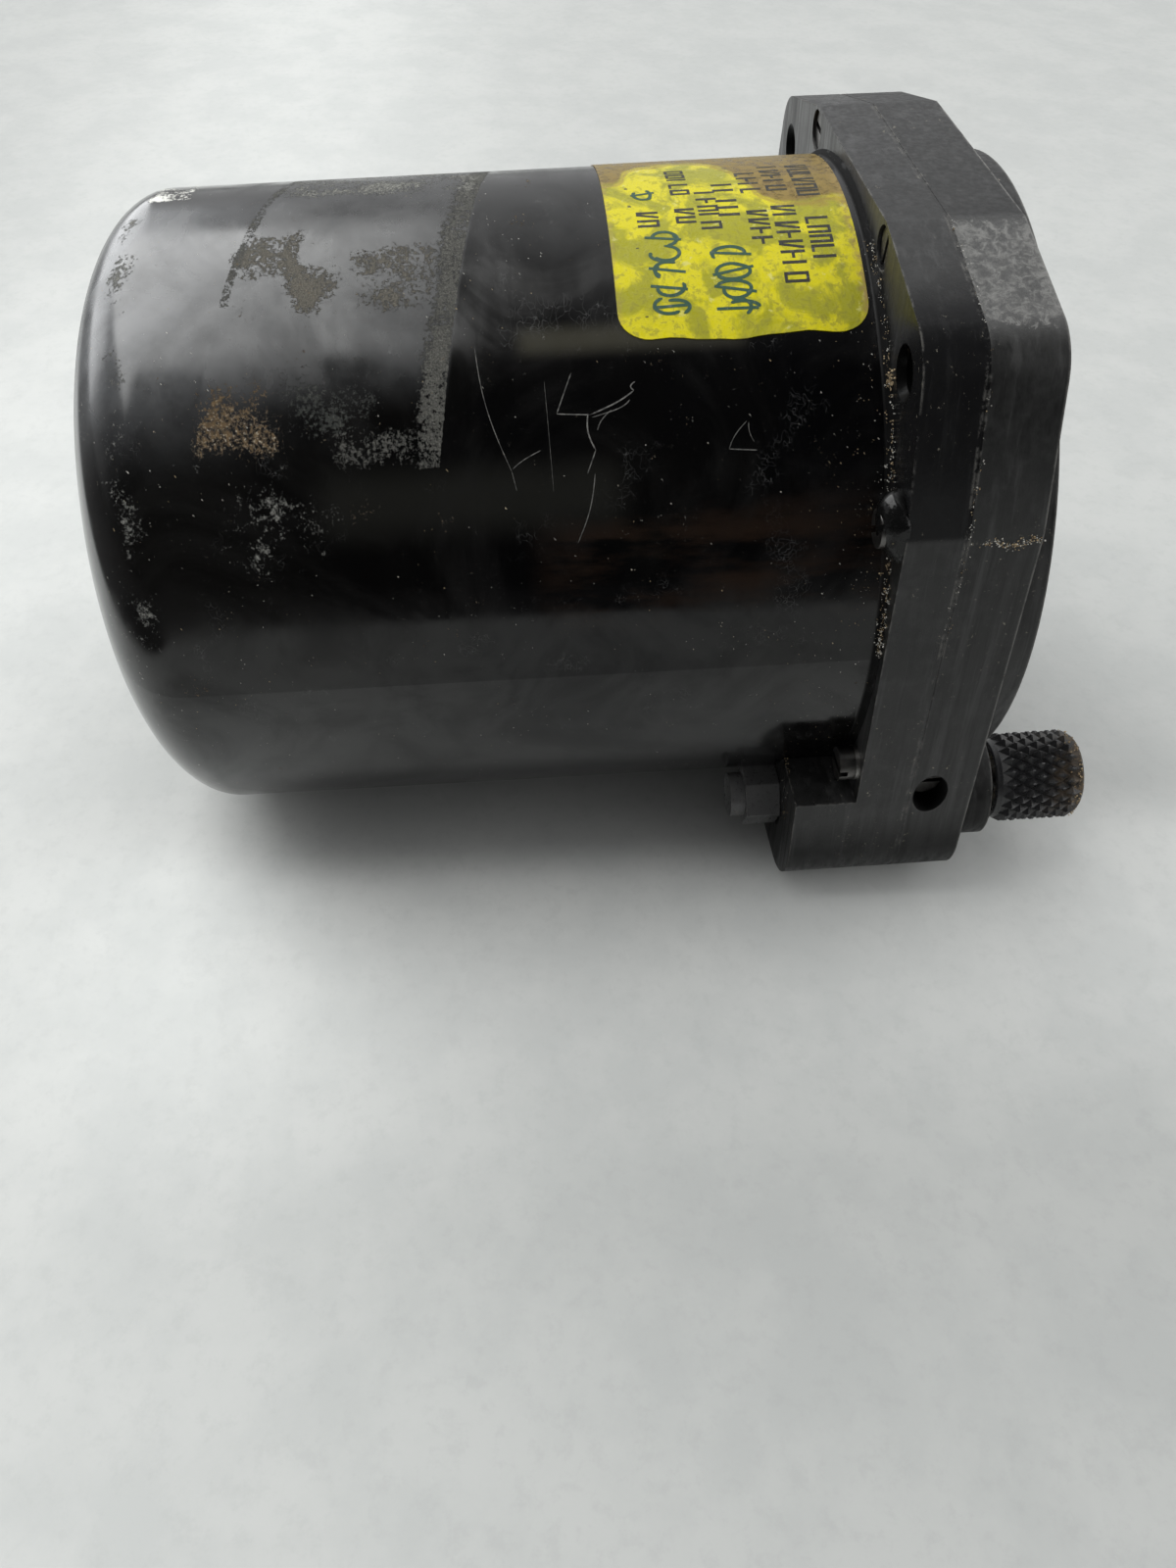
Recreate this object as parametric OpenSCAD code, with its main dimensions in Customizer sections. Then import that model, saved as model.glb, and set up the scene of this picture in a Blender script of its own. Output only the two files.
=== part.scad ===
// Sensitive altimeter for an instrument panel: black moulded case, square flange with a knurled setting knob,
// three pointers, pressure capsules and the gear trains that join them.
// The axis is +Y from the dial to the rear, +Z is twelve o'clock, and the origin is on the axis where the
// panel touches the front plate.

/* [Flange plates] */
// Half of the width across the flats
flange_half = 41.275; // [40.5:0.005:42]
// Half of the length of each flat
flat_half_len = 17.6; // [14:0.1:20]
// Distance of each mounting hole from the two flats beside it
mount_edge = 9.845; // [9:0.005:10.5]
// Radius of the three plain corners, about their mounting holes
corner_r = 6.3; // [5:0.1:7]
// Radius of the knob corner
knob_corner_r = 8.5; // [8:0.1:9.5]
// Thickness of the front plate
front_plate_t = 8.0; // [7.6:0.1:9]
// Thickness of the flange of the case
case_flange_t = 6.4; // [6:0.1:8]
// Thickness of the gasket between the two plates
gasket_t = 0.4; // [0.3:0.05:0.8]
// How far the middle of the knob corner lies nearer to the axis than its radius asks
knob_corner_lift = 1.4; // [0:0.1:2]
// How far the gasket stays inside the outline
gasket_inset = 0.5; // [0.3:0.1:0.8]
// Radius of the mounting holes
mount_hole_r = 2.1; // [1.9:0.05:2.4]
// Widening of the mounting holes at the rear
countersink = 0.8; // [0.4:0.1:1.2]
// Height of the raised rim on the front plate
rim_h = 3.4; // [3:0.1:5]
// How far the raised rim stays inside the flats
rim_inset = 1.875; // [1:0.005:3]
// Wall of the raised rim around the glass
rim_wall = 3.9; // [3:0.1:4.5]
// Radius of the blind hole in the side of the front plate
side_hole_r = 2.2; // [1.6:0.1:2.3]
// Depth of the side hole
side_hole_depth = 5; // [3:0.5:5]
// Distance of the side hole from the plate screw above it
side_hole_drop = 3.85; // [3.8:0.05:5]

/* [Barrel] */
// How far the barrel stays inside the flats of the flange
barrel_inset = 1.875; // [1:0.005:3]
// How much narrower the barrel is at its rear end, on the radius
barrel_taper = 0.6; // [0:0.1:1]
// Length of the barrel behind the flange
barrel_len = 91.3; // [88:0.1:110]
// Wall of the barrel at its rear end
barrel_wall = 2.8; // [2:0.1:4]
// Thickness of the rear wall
end_wall = 4; // [3:0.1:6]
// Length of the rounded rear edge, along the axis
edge_axial = 12.2; // [8:0.1:16]
// Width of the rounded rear edge, across the axis
edge_radial = 22.7; // [12:0.1:24]
// Fillet where the barrel meets the flange
root_fillet = 0.6; // [0.3:0.1:0.8]
// Radius of the thread in the pressure port
port_thread_r = 4.4; // [4:0.1:5]
// Outer radius of the port insert
port_r = 6.5; // [6:0.1:8]
// Length of the port insert inside the case
port_len = 12; // [10:0.5:14]
// How far the port insert stands out
port_proud = 0.6; // [0.2:0.1:2]
// Wall of the boss around the port insert
port_wall = 2.5; // [2:0.1:4]

/* [Plate screws] */
// Distance of each plate screw from the flat beside it
screw_edge = 2.775; // [2.5:0.005:3]
// Distance of each plate screw from the centre line
screw_near = 17.5; // [16.5:0.1:18]
// Radius of the screw shank
screw_r = 1.45; // [1.2:0.05:1.6]
// Radius of the screw head
screw_head_r = 2.1; // [1.8:0.05:2.2]
// Height of the screw head
screw_head_h = 2.0; // [1.4:0.1:2.6]
// Thickness of the washers
washer_t = 0.5; // [0.3:0.1:0.8]
// Radius of the washers
washer_r = 2.2; // [2.1:0.05:2.25]
// Depth of the sunk screw heads
sink_depth = 2.4; // [1.8:0.1:3]
// How deep the screws go into the front plate
screw_bite = 5.5; // [4:0.5:6.5]

/* [Glass] */
// Thickness of the cover glass
glass_t = 2.0; // [1.6:0.1:2.2]
// Depth of the glass behind the edge of the rim
glass_setback = 1.8; // [1.6:0.1:2.2]
// Thickness of the spring ring that holds the glass
snap_t = 1.0; // [0.6:0.1:1.2]
// Width of the spring ring
snap_w = 1.6; // [1.2:0.1:2.4]
// Depth of the groove for the spring ring
groove_depth = 0.6; // [0.4:0.1:1]
// Gap between the ends of the spring ring, in degrees
snap_gap = 14; // [8:1:30]
// Thickness of the glass gasket
seal_t = 0.6; // [0.4:0.1:0.8]
// How far the ledge reaches in under the glass
glass_lap = 2.1; // [1.5:0.1:3]
// Thickness of the ledge that carries the glass
ledge_t = 0.8; // [0.6:0.1:1.2]

/* [Dial] */
// How far the dial reaches out behind the ledge
dial_lap = 1.4; // [1:0.1:1.8]
// Thickness of the dial
dial_t = 0.8; // [0.6:0.1:1]
// Distance from the panel face to the dial
dial_y = 6.3; // [6:0.1:6.6]
// Wall of the spacer ring between ledge and dial
spacer_wall = 1.2; // [0.8:0.1:1.3]
// Radius of the hole in the middle of the dial
dial_hole_r = 3.4; // [3:0.1:4]
// Distance of the pressure window's middle from the edge of the dial
window_edge = 12.8; // [12:0.1:14]
// Width of the pressure window, along the radius
window_w = 6; // [4:0.1:7]
// Height of the pressure window
window_h = 9; // [6:0.1:11]
// How far the plate behind the dial reaches out past the dial
support_lap = 3.0; // [2.6:0.1:3.2]
// Thickness of the plate behind the dial
support_t = 1.1; // [1:0.1:1.2]
// Radius of the small screws
small_screw_r = 0.8; // [0.6:0.05:0.9]
// Distance of the support screws from the edge of that plate
support_screw_edge = 1.4; // [1.2:0.1:1.6]
// Distance of the dial screws from the edge of the dial
dial_screw_edge = 5.3; // [4:0.1:7]

/* [Setting knob] */
// Distance of the knob axis from the two flats beside it
knob_edge = 10.875; // [10.5:0.005:11]
// Radius of the knob
knob_r = 6.2; // [5.6:0.1:7]
// Length of the knob
knob_len = 12.2; // [10:0.1:14]
// Space between the knob and its boss
knob_gap = 1.3; // [0.8:0.1:2]
// Depth of the knurling
knurl_depth = 0.5; // [0.3:0.05:0.7]
// Number of grooves around the knob
knurl_count = 40; // [24:2:48]
// Radius of the smooth collar behind the knurling
collar_r = 5.4; // [5:0.1:5.6]
// Length of the smooth collar
collar_len = 1.2; // [0.8:0.1:2]
// Radius of the boss around the knob shaft
boss_r = 7.3; // [6:0.1:7.5]
// Height of the boss
boss_h = 5.1; // [4:0.1:6]
// Radius of the knob shaft
shaft_r = 2.0; // [1.8:0.05:2.2]
// Outer radius of the shaft bushing
bushing_r = 3.4; // [3.1:0.1:3.6]
// Length of the bushing behind the boss face
bushing_len = 12; // [10:0.5:12.5]
// Length of the shaft housing behind the flange
housing_len = 7.7; // [7:0.1:9]
// Distance from the knob axis to the inner faces of the shaft housing
housing_half = 8.4; // [7:0.1:9]
// Width of the gland nut across its flats
nut_flats = 7.6; // [7:0.1:8]
// Length of the gland nut
nut_len = 4.6; // [4:0.1:6]
// Radius of the closed end of the gland nut
nut_cap_r = 3.0; // [2.8:0.1:3.4]
// Length of the closed end of the gland nut
nut_cap_len = 1.9; // [1.5:0.1:3]

/* [Setting gears] */
// Module of the main setting gears
drive_m = 1.0; // [0.99:0.01:1.01]
// Teeth of the driving pinion
drive_teeth = 15; // [15:1:16]
// Module of the pressure scale gears
scale_m = 0.5; // [0.48:0.01:0.51]
// Teeth of the scale pinion on the knob shaft
scale_pinion_teeth = 12; // [12:1:13]
// Teeth of the scale idler wheel
scale_wheel_teeth = 36; // [34:1:36]
// Teeth of the scale idler pinion
scale_idler_teeth = 20; // [18:1:20]
// Teeth on the rim of the pressure scale
scale_ring_teeth = 104; // [100:1:104]
// Inner radius of the pressure scale
scale_bore_r = 17; // [16.8:0.1:17.2]
// Thickness of the thin gears
thin_gear_t = 0.8; // [0.6:0.05:0.8]
// Space between neighbouring gears along the axis
gear_gap = 0.4; // [0.3:0.05:0.5]
// Thickness of the main ring gear
ring_gear_t = 2.0; // [1.6:0.1:2]

/* [Carrier] */
// Wall of the ring in which the carrier turns
bearing_wall = 3.0; // [2.6:0.1:3.4]
// Length of the bearing ring
bearing_len = 3.5; // [3:0.1:3.6]
// Thickness of the carrier plate and of the rear plate
plate_t = 2.0; // [1.6:0.1:2.4]
// Depth of the hollow in front of the carrier plate
hollow_depth = 4.5; // [4.3:0.1:5]
// Thickness of the ring that holds the carrier back
keeper_t = 0.8; // [0.6:0.1:1.2]
// Length of the front pillars
train_space = 9; // [9:0.1:12]
// Thickness of the plate behind the train
back_plate_t = 2.5; // [2:0.1:3]
// Length of the rear pillars
rear_space = 43; // [41:0.5:48]
// Distance of the pillars from the edge of their plates
pillar_edge = 2.0; // [1.8:0.1:2.4]
// Radius of the pillars
pillar_r = 2.0; // [1.6:0.1:2.2]

/* [Capsules] */
// Radius of the pressure capsules
capsule_r = 15; // [12:0.5:15.5]
// Height of one capsule
capsule_h = 6; // [5:0.1:6]
// Number of capsules in the stack
capsule_count = 3; // [2:1:3]
// Height of the foot of the stack
capsule_foot_z = -14; // [-16:0.5:-13]
// Distance from the back plate to the stack's axis
capsule_at = 21.5; // [20:0.5:24]
// Thickness of the bracket
bracket_t = 2.4; // [2:0.1:3]
// Half of the width of the bracket
bracket_half = 9; // [6:0.5:12]

/* [Amplifying train] */
// Module of the sector gear
sector_m = 0.5; // [0.49:0.01:0.5]
// Teeth of the full circle of the sector gear
sector_teeth = 96; // [92:1:96]
// Teeth of every train pinion
pinion_teeth = 12; // [11:1:12]
// Module of the train wheels
train_m = 0.4; // [0.39:0.01:0.4]
// Teeth of the train wheels
wheel_teeth = 72; // [68:1:72]
// Thickness of the train gears
train_gear_t = 1.5; // [1:0.1:1.5]
// Rocking shaft, to the right of the axis
rocker_x = -7; // [-7.5:0.1:-6.5]
// Rocking shaft, above the axis
rocker_z = 12; // [11.5:0.1:12.5]
// Radius of the rocking shaft
rocker_r = 1.2; // [1:0.1:1.5]
// Radius of the arbors
arbor_r = 0.9; // [0.8:0.1:1]
// Radius of the pivots
pivot_r = 0.5; // [0.4:0.05:0.6]
// Direction from the rocking shaft to the first arbor
sector_dir = -31.5; // [-33:0.5:-30]

/* [Pointers] */
// Radius of the long pointer's staff
staff_r = 0.6; // [0.5:0.05:0.6]
// Wall of each pointer tube and bush
tube_wall = 0.4; // [0.35:0.01:0.42]
// Wall of each floating bush
bush_wall = 0.2; // [0.15:0.01:0.2]
// Length of the long pointer
long_len = 29; // [26:0.5:31]
// Length of the medium pointer
medium_len = 19; // [16:0.5:22]
// Length of the short pointer
short_len = 25; // [20:0.5:28]
// Thickness of the pointers
pointer_t = 0.5; // [0.3:0.05:0.6]
// Distance from one pointer to the next
pointer_pitch = 1.25; // [1.1:0.05:1.3]
// Space between the dial and the short pointer
pointer_clear = 0.7; // [0.5:0.1:0.8]
// Distance of the reduction gears from the axis
reduction_at = 8.4; // [8.2:0.1:8.6]
// Thickness of the reduction gears
reduction_t = 0.8; // [0.7:0.05:0.8]
// Radius of the studs of the reduction gears
stud_r = 0.8; // [0.7:0.05:0.9]

/* [Label] */
// Start of the label behind the flange
label_start = 1.5; // [1:0.1:6]
// Width of the label along the barrel
label_w = 27; // [20:0.5:40]
// Angle of the label's lower edge
label_low = 125.5; // [110:0.5:140]
// Angle of the label's far edge
label_high = 52; // [30:1:80]
// Thickness of the label
label_t = 0.15; // [0.1:0.01:0.3]

/* [Fits] */
// Radial running clearance of shafts and gears
run_gap = 0.05; // [0.02:0.01:0.08]
// Space around fixed pieces that are fitted together
fit_gap = 0.1; // [0.05:0.01:0.2]
// Free space around turning pieces
free_gap = 0.5; // [0.4:0.05:0.6]

/* [Hidden] */

$fn = 64;

// Stations along the axis, from the front of the rim to the rear of the barrel
rim_y = -rim_h;
glass_y = rim_y + glass_setback;
snap_y = glass_y - snap_t;
glass_back = glass_y + glass_t;
ledge_y = glass_back + seal_t;
ledge_back = ledge_y + ledge_t;
support_y = dial_y + dial_t;
support_back = support_y + support_t;
case_y = front_plate_t + gasket_t;
flange_back = case_y + case_flange_t;
rear_y = flange_back + barrel_len;
port_y = rear_y + port_proud;
scale_y = support_back + free_gap;
scale_back = scale_y + thin_gear_t;
idler_y = scale_back + gear_gap;
idler_back = idler_y + thin_gear_t;
ring_y = idler_back + free_gap;
ring_back = ring_y + ring_gear_t;
bearing_y = ring_back + gear_gap;
bearing_back = bearing_y + bearing_len;
carrier_y = ring_y + hollow_depth;
carrier_back = max(carrier_y + plate_t, bearing_back + gear_gap);
back_plate_y = carrier_back + train_space;
back_plate_back = back_plate_y + back_plate_t;
rear_plate_y = back_plate_back + rear_space;
rear_plate_back = rear_plate_y + plate_t;

// Radii, from the flats of the flange inwards
hole_spacing = 2 * (flange_half - mount_edge);
screw_far = flange_half - screw_edge;
side_hole_z = -screw_near - side_hole_drop;
barrel_r = flange_half - barrel_inset;
barrel_end_r = barrel_r - barrel_taper;
barrel_bore_r = barrel_end_r - barrel_wall;
rim_r = flange_half - rim_inset;
glass_r = rim_r - rim_wall;
opening_r = glass_r - glass_lap;
dial_r = opening_r + dial_lap;
dial_screw_at = dial_r - dial_screw_edge;
window_mid = dial_r - window_edge;
support_r = dial_r + support_lap;
support_screw_at = support_r - support_screw_edge;
carrier_r = barrel_bore_r - bearing_wall;
pillar_at = carrier_r - pillar_edge;

// Cavities
rim_bore_r = glass_r + 3 * fit_gap;
dial_bore_r = dial_r + 2 * fit_gap;
support_bore_r = support_r + 2 * fit_gap;
pocket_clear = 0.8;
idler_stud_base = 2;
pocket_floor = ring_back + 0.9;

// Knob axis
knob_at = flange_half - knob_edge;
housing_edge = knob_at - housing_half;
knob_x = -knob_at;
knob_z = -knob_at;
knob_dist = knob_at * sqrt(2);
knob_dir = 225;
boss_y = -boss_h;
knob_back = boss_y - knob_gap;
knob_y = knob_back - knob_len;
knob_wall = 1.6;
housing_back = flange_back + housing_len;
nut_back = housing_back + nut_len;
seal_r = shaft_r + 1.4;
seal_len = 2;
seal_room = seal_len + 1;
nut_clear = 0.3;
nut_corner_r = nut_flats / 2 / cos(30);

// Setting gears: the ring gear fills the distance that the pinion leaves
ring_teeth = round(2 * knob_dist / drive_m) - drive_teeth;
drive_module = 2 * knob_dist / (drive_teeth + ring_teeth);
idler_from_knob = (scale_pinion_teeth + scale_wheel_teeth) * scale_m / 2;
idler_dist = knob_dist - idler_from_knob;
ring_module = 2 * idler_dist / (scale_idler_teeth + scale_ring_teeth);
idler_x = idler_dist * cos(knob_dir);
idler_z = idler_dist * sin(knob_dir);
pocket_r = drive_module * (drive_teeth / 2 + 1) + pocket_clear;

// Tooth form, as shares of the module and of the tooth pitch
tooth_out = 0.85;
tooth_in = 1.15;
tip_share = 0.2;
root_share = 0.6;

// Reduction train behind the dial: two compound idlers, each one tenth
small_teeth = 12;
idler_teeth = 36;
tenth_teeth = 40;
first_m = 2 * reduction_at / (small_teeth + idler_teeth);
second_m = 2 * reduction_at / (small_teeth + tenth_teeth);
stage_pitch = reduction_t + 0.35;
short_gear_y = idler_back - 0.2;
medium_pinion_y = short_gear_y + stage_pitch;
medium_wheel_y = medium_pinion_y + stage_pitch;
staff_pinion_y = medium_wheel_y + stage_pitch;
stud_back = staff_pinion_y + reduction_t + 0.3;

// Nested tubes on the axis, from the staff outwards
medium_bush_in = staff_r + run_gap;
medium_bush_out = medium_bush_in + bush_wall;
medium_in = medium_bush_out + run_gap;
medium_out = medium_in + tube_wall;
short_bush_in = medium_out + run_gap;
short_bush_out = short_bush_in + bush_wall;
short_in = short_bush_out + run_gap;
short_out = short_in + tube_wall;
centre_bore = short_out + run_gap;
idler_bush_in = stud_r + run_gap;
idler_bush_out = idler_bush_in + bush_wall;
idler_bore = idler_bush_out + run_gap;

// Pointers
short_y = dial_y - pointer_clear - pointer_t;
medium_y = short_y - pointer_pitch;
long_y = medium_y - pointer_pitch;
hub_extra = 0.3;
tube_end = 0.15;

// Amplifying train
stage_one = (sector_teeth + pinion_teeth) * sector_m / 2;
stage_two = (wheel_teeth + pinion_teeth) * train_m / 2;
arbor_a = [rocker_x + stage_one * cos(sector_dir), rocker_z + stage_one * sin(sector_dir)];
arbor_b = third_corner(arbor_a, stage_two);
turns_low = 1;
turns_high = 20;
train_ratio = sector_teeth / pinion_teeth * pow(wheel_teeth / pinion_teeth, 2);
sector_low = 360 * turns_low / train_ratio;
sector_high = 360 * turns_high / train_ratio;
wheel_b_y = carrier_back + 2;
wheel_a_y = wheel_b_y + train_gear_t + 1.5;
sector_y = back_plate_back + 2;
pivot_len = 1.5;

// Rocking shaft and its arm
arm_reach = -rocker_x;
arm_rest = -(sector_high - sector_low) / 2;
capsule_y = back_plate_back + capsule_at;
capsule_top = capsule_foot_z + capsule_count * capsule_h;
pin_z = rocker_z + arm_reach * tan(arm_rest);
arm_len = arm_reach / cos(arm_rest);
pin_r = 0.6;
arm_t = 1.6;
weight_at = 13;
cheek_t = 0.8;

// Housing block, spring and small parts
screw_spots = [for (a = [-1, 1]) for (b = [-1, 1]) [a * screw_far, b * screw_near]];
sunk_spots = [for (a = [-1, 1]) for (b = [-1, 1]) [a * screw_near, b * screw_far]];
mount_spots = [for (s = [[-1, 1], [1, 1], [1, -1]]) s * hole_spacing / 2];
support_screw_dirs = [90, 180, 330];
dial_screw_dirs = [55, 175, 305];
front_pillar_dirs = [45, 135, 205, -30];
rear_pillar_dirs = [57, 123, 215, -45];
spring_at = 8;
spring_stud_dir = 120;
spring_turns = 4;
spring_in = 2.4;
spring_pitch = 1.1;
spring_w = 0.25;

function third_corner(a, d) =
    let (h = norm(a) / 2, rise = sqrt(d * d - h * h), u = a / norm(a))
    [a[0] / 2 + u[1] * rise, a[1] / 2 - u[0] * rise];
function polar(r, a) = [r * cos(a), r * sin(a)];
function tangent_point(from, centre, r, side) =
    let (d = from - centre, a = atan2(d[1], d[0]), b = acos(r / norm(d)))
    centre + polar(r, a + side * b);
function direction(from, to) = atan2(to[1] - from[1], to[0] - from[0]);
function barrel_r_at(y) = barrel_r - barrel_taper * (y - flange_back) / (barrel_len - edge_axial);

// Gear outline with a tooth centred on the angle start, for the teeth from the first to the last
function gear_points(teeth, m, start, first, last) = [
    for (i = [first:last])
        for (k = [[-root_share, -tooth_in], [-tip_share, tooth_out], [tip_share, tooth_out], [root_share, -tooth_in]])
            polar(m * (teeth / 2 + k[1]), start + (i + k[0] / 2) * 360 / teeth)
];

// The solid between two stations along the axis, from an outline seen from the front
module along_y(y0, y1, x = 0, z = 0) {
    translate([x, y1, z]) rotate([90, 0, 0]) linear_extrude(height = y1 - y0) children();
}

module disc(r, y0, y1, x = 0, z = 0) {
    translate([x, y1, z]) rotate([90, 0, 0]) cylinder(h = y1 - y0, r = r);
}

module ring(r_out, r_in, y0, y1, x = 0, z = 0) {
    difference() {
        disc(r_out, y0, y1, x, z);
        disc(r_in, y0 - 1, y1 + 1, x, z);
    }
}

// A turned shape about an axis along Y, from an outline of [radius, station] points
module turned(x = 0, z = 0) {
    translate([x, 0, z]) rotate([-90, 0, 0]) rotate_extrude() children();
}

module gear(teeth, m, bore, y0, y1, start, x = 0, z = 0) {
    difference() {
        along_y(y0, y1, x, z) polygon(gear_points(teeth, m, start, 0, teeth - 1));
        disc(bore, y0 - 1, y1 + 1, x, z);
    }
}

// Outline of the flange: four flats, three corners about the mounting holes, and the fuller knob corner
module flange(y0, y1, inset = 0) {
    half = flange_half - inset;
    c = hole_spacing / 2;
    k = flange_half - knob_corner_r;
    kz = k - knob_corner_lift;
    plain_r = corner_r - inset;
    knob_r_in = knob_corner_r - inset;
    upper_right = [
        tangent_point([half, flat_half_len], [c, c], plain_r, 1),
        tangent_point([flat_half_len, half], [c, c], plain_r, -1)
    ];
    along_y(y0, y1) polygon([
        [half, -flat_half_len], [half, flat_half_len],
        upper_right[0], upper_right[1],
        [flat_half_len, half], [-flat_half_len, half],
        [-upper_right[1][0], upper_right[1][1]], [-upper_right[0][0], upper_right[0][1]],
        [-half, flat_half_len], [-half, -kz],
        tangent_point([-flat_half_len, -half], [-k, -kz], knob_r_in, -1),
        [-flat_half_len, -half], [flat_half_len, -half],
        [upper_right[1][0], -upper_right[1][1]], [upper_right[0][0], -upper_right[0][1]]
    ]);
    for (s = mount_spots) disc(plain_r, y0, y1, s[0], s[1]);
    disc(knob_r_in, y0, y1, -k, -kz);
}

module mounting_holes(y0, y1) {
    for (s = mount_spots) disc(mount_hole_r, y0, y1, s[0], s[1]);
}

module case_shell() {
    steps = 12;
    bore_edge_axial = edge_axial - end_wall / 2;
    bore_edge_radial = edge_radial - (barrel_end_r - barrel_bore_r);
    bore_end = rear_y - end_wall;
    outside = [
        for (i = [0:steps])
            let (a = 90 * i / steps)
            [barrel_end_r - edge_radial * (1 - sin(a)), rear_y - edge_axial * (1 - cos(a))]
    ];
    inside = [
        for (i = [steps:-1:0])
            let (a = 90 * i / steps)
            [barrel_bore_r - bore_edge_radial * (1 - sin(a)), bore_end - bore_edge_axial * (1 - cos(a))]
    ];
    color("#151517") difference() {
        union() {
            flange(case_y, flange_back);
            turned() polygon(concat(
                outside,
                [
                    [barrel_r_at(flange_back + root_fillet * 2), flange_back + root_fillet * 2],
                    [barrel_r + root_fillet, flange_back],
                    [barrel_r + root_fillet, flange_back - 1], [barrel_bore_r, flange_back - 1]
                ],
                inside,
                [[0, bore_end], [0, rear_y]]
            ));
            disc(port_r + port_wall, rear_y - port_len, rear_y - end_wall / 2);
            intersection() {
                flange(flange_back - 1, housing_back);
                translate([-2 * flange_half - housing_edge, 0, -2 * flange_half - housing_edge])
                    cube([2 * flange_half, housing_back, 2 * flange_half]);
            }
        }
        disc(barrel_bore_r, case_y - 1, housing_back + 1);
        disc(support_bore_r, case_y - 1, bearing_y);
        disc(pocket_r, case_y - 1, pocket_floor, knob_x, knob_z);
        disc(port_r, rear_y - port_len - 1, rear_y + 1);
        disc(shaft_r + run_gap, pocket_floor - 1, housing_back + 1, knob_x, knob_z);
        disc(seal_r, housing_back - seal_room, housing_back + 1, knob_x, knob_z);
        disc(nut_corner_r + nut_clear, housing_back, nut_back + nut_clear, knob_x, knob_z);
        mounting_holes(case_y - 1, flange_back + 1);
        for (s = mount_spots)
            turned(s[0], s[1]) polygon([
                [0, flange_back - countersink], [mount_hole_r, flange_back - countersink],
                [mount_hole_r + countersink, flange_back], [mount_hole_r + countersink, flange_back + 1],
                [0, flange_back + 1]
            ]);
        for (s = screw_spots) disc(screw_r, case_y - 1, flange_back + 1, s[0], s[1]);
        for (s = sunk_spots) {
            disc(screw_r, case_y - 1, flange_back + 1, s[0], s[1]);
            disc(screw_head_r + 2 * fit_gap, flange_back - sink_depth, flange_back + 1, s[0], s[1]);
        }
    }
}

module front_plate() {
    color("#1b1b1d") difference() {
        union() {
            flange(0, front_plate_t);
            disc(rim_r, rim_y, 1);
            disc(boss_r, boss_y, 1, knob_x, knob_z);
        }
        disc(rim_bore_r, boss_y - 1, ledge_y);
        disc(rim_bore_r + groove_depth, snap_y, glass_y);
        disc(opening_r, 0, ledge_back + 1);
        disc(dial_bore_r, ledge_back, front_plate_t + 1);
        disc(support_bore_r, support_y, front_plate_t + 1);
        disc(bushing_r, boss_y - 1, boss_y + bushing_len, knob_x, knob_z);
        disc(shaft_r + 2 * run_gap, boss_y, front_plate_t + 1, knob_x, knob_z);
        mounting_holes(-1, front_plate_t + 1);
        for (s = concat(screw_spots, sunk_spots))
            disc(screw_r, front_plate_t - screw_bite, front_plate_t + 1, s[0], s[1]);
        for (a = support_screw_dirs)
            disc(small_screw_r, ledge_back + 1, support_y + 1, support_screw_at * cos(a), support_screw_at * sin(a));
        translate([-flange_half - 1, front_plate_t - side_hole_r - 0.3, side_hole_z])
            rotate([0, 90, 0]) cylinder(h = side_hole_depth + 1, r = side_hole_r);
    }
}

module flange_gasket() {
    color("#0c0c0c") difference() {
        flange(front_plate_t, case_y, gasket_inset);
        disc(support_bore_r + fit_gap, 0, flange_back);
        disc(pocket_r, 0, flange_back, knob_x, knob_z);
        mounting_holes(0, flange_back);
        for (s = concat(screw_spots, sunk_spots)) disc(screw_r + fit_gap, 0, flange_back, s[0], s[1]);
    }
}

module slotted_screw(x, z, r, head_r, head_h, seat, tip, slot) {
    difference() {
        union() {
            disc(r, tip, seat, x, z);
            disc(head_r, seat, seat + head_h, x, z);
        }
        translate([x, seat + head_h * 0.75, z]) rotate([0, slot, 0])
            cube([head_r * 3, head_h / 2, head_r * 0.35], center = true);
    }
}

module plate_screws() {
    tip = front_plate_t - screw_bite + 0.3;
    color("#8d8f92") {
        for (i = [0:3])
            slotted_screw(screw_spots[i][0], screw_spots[i][1], screw_r, screw_head_r, screw_head_h,
                flange_back + washer_t, tip, 35 * i);
        for (i = [0:3])
            slotted_screw(sunk_spots[i][0], sunk_spots[i][1], screw_r, screw_head_r, screw_head_h,
                flange_back - sink_depth, tip, 25 + 50 * i);
    }
}

module screw_washers() {
    color("#b9bcbf") for (s = screw_spots) ring(washer_r, screw_r, flange_back, flange_back + washer_t, s[0], s[1]);
}

module cover_glass() {
    color("#cfe3ea") disc(glass_r, glass_y, glass_back);
}

module glass_gasket() {
    color("#101010") ring(glass_r - fit_gap, opening_r, glass_back, ledge_y);
}

module glass_ring() {
    r_out = rim_bore_r + groove_depth - fit_gap;
    color("#26262a") rotate([-90, 0, 0]) rotate([0, 0, 90 + snap_gap / 2])
        rotate_extrude(angle = 360 - snap_gap)
            translate([r_out - snap_w, snap_y]) square([snap_w, snap_t]);
}

module window_cut(extra, y0, y1) {
    w = window_w + 2 * extra;
    h = window_h + 2 * extra;
    translate([window_mid - w / 2, y0, -h / 2]) cube([w, y1 - y0, h]);
}

module dial() {
    color("#0d0d0f") difference() {
        disc(dial_r, dial_y, support_y);
        disc(dial_hole_r, 0, support_back);
        window_cut(0, dial_y - 1, support_y + 1);
        for (a = dial_screw_dirs)
            disc(small_screw_r, 0, support_back, dial_screw_at * cos(a), dial_screw_at * sin(a));
    }
}

module dial_spacer() {
    color("#141414") ring(dial_r, dial_r - spacer_wall, ledge_back, dial_y);
}

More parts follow.
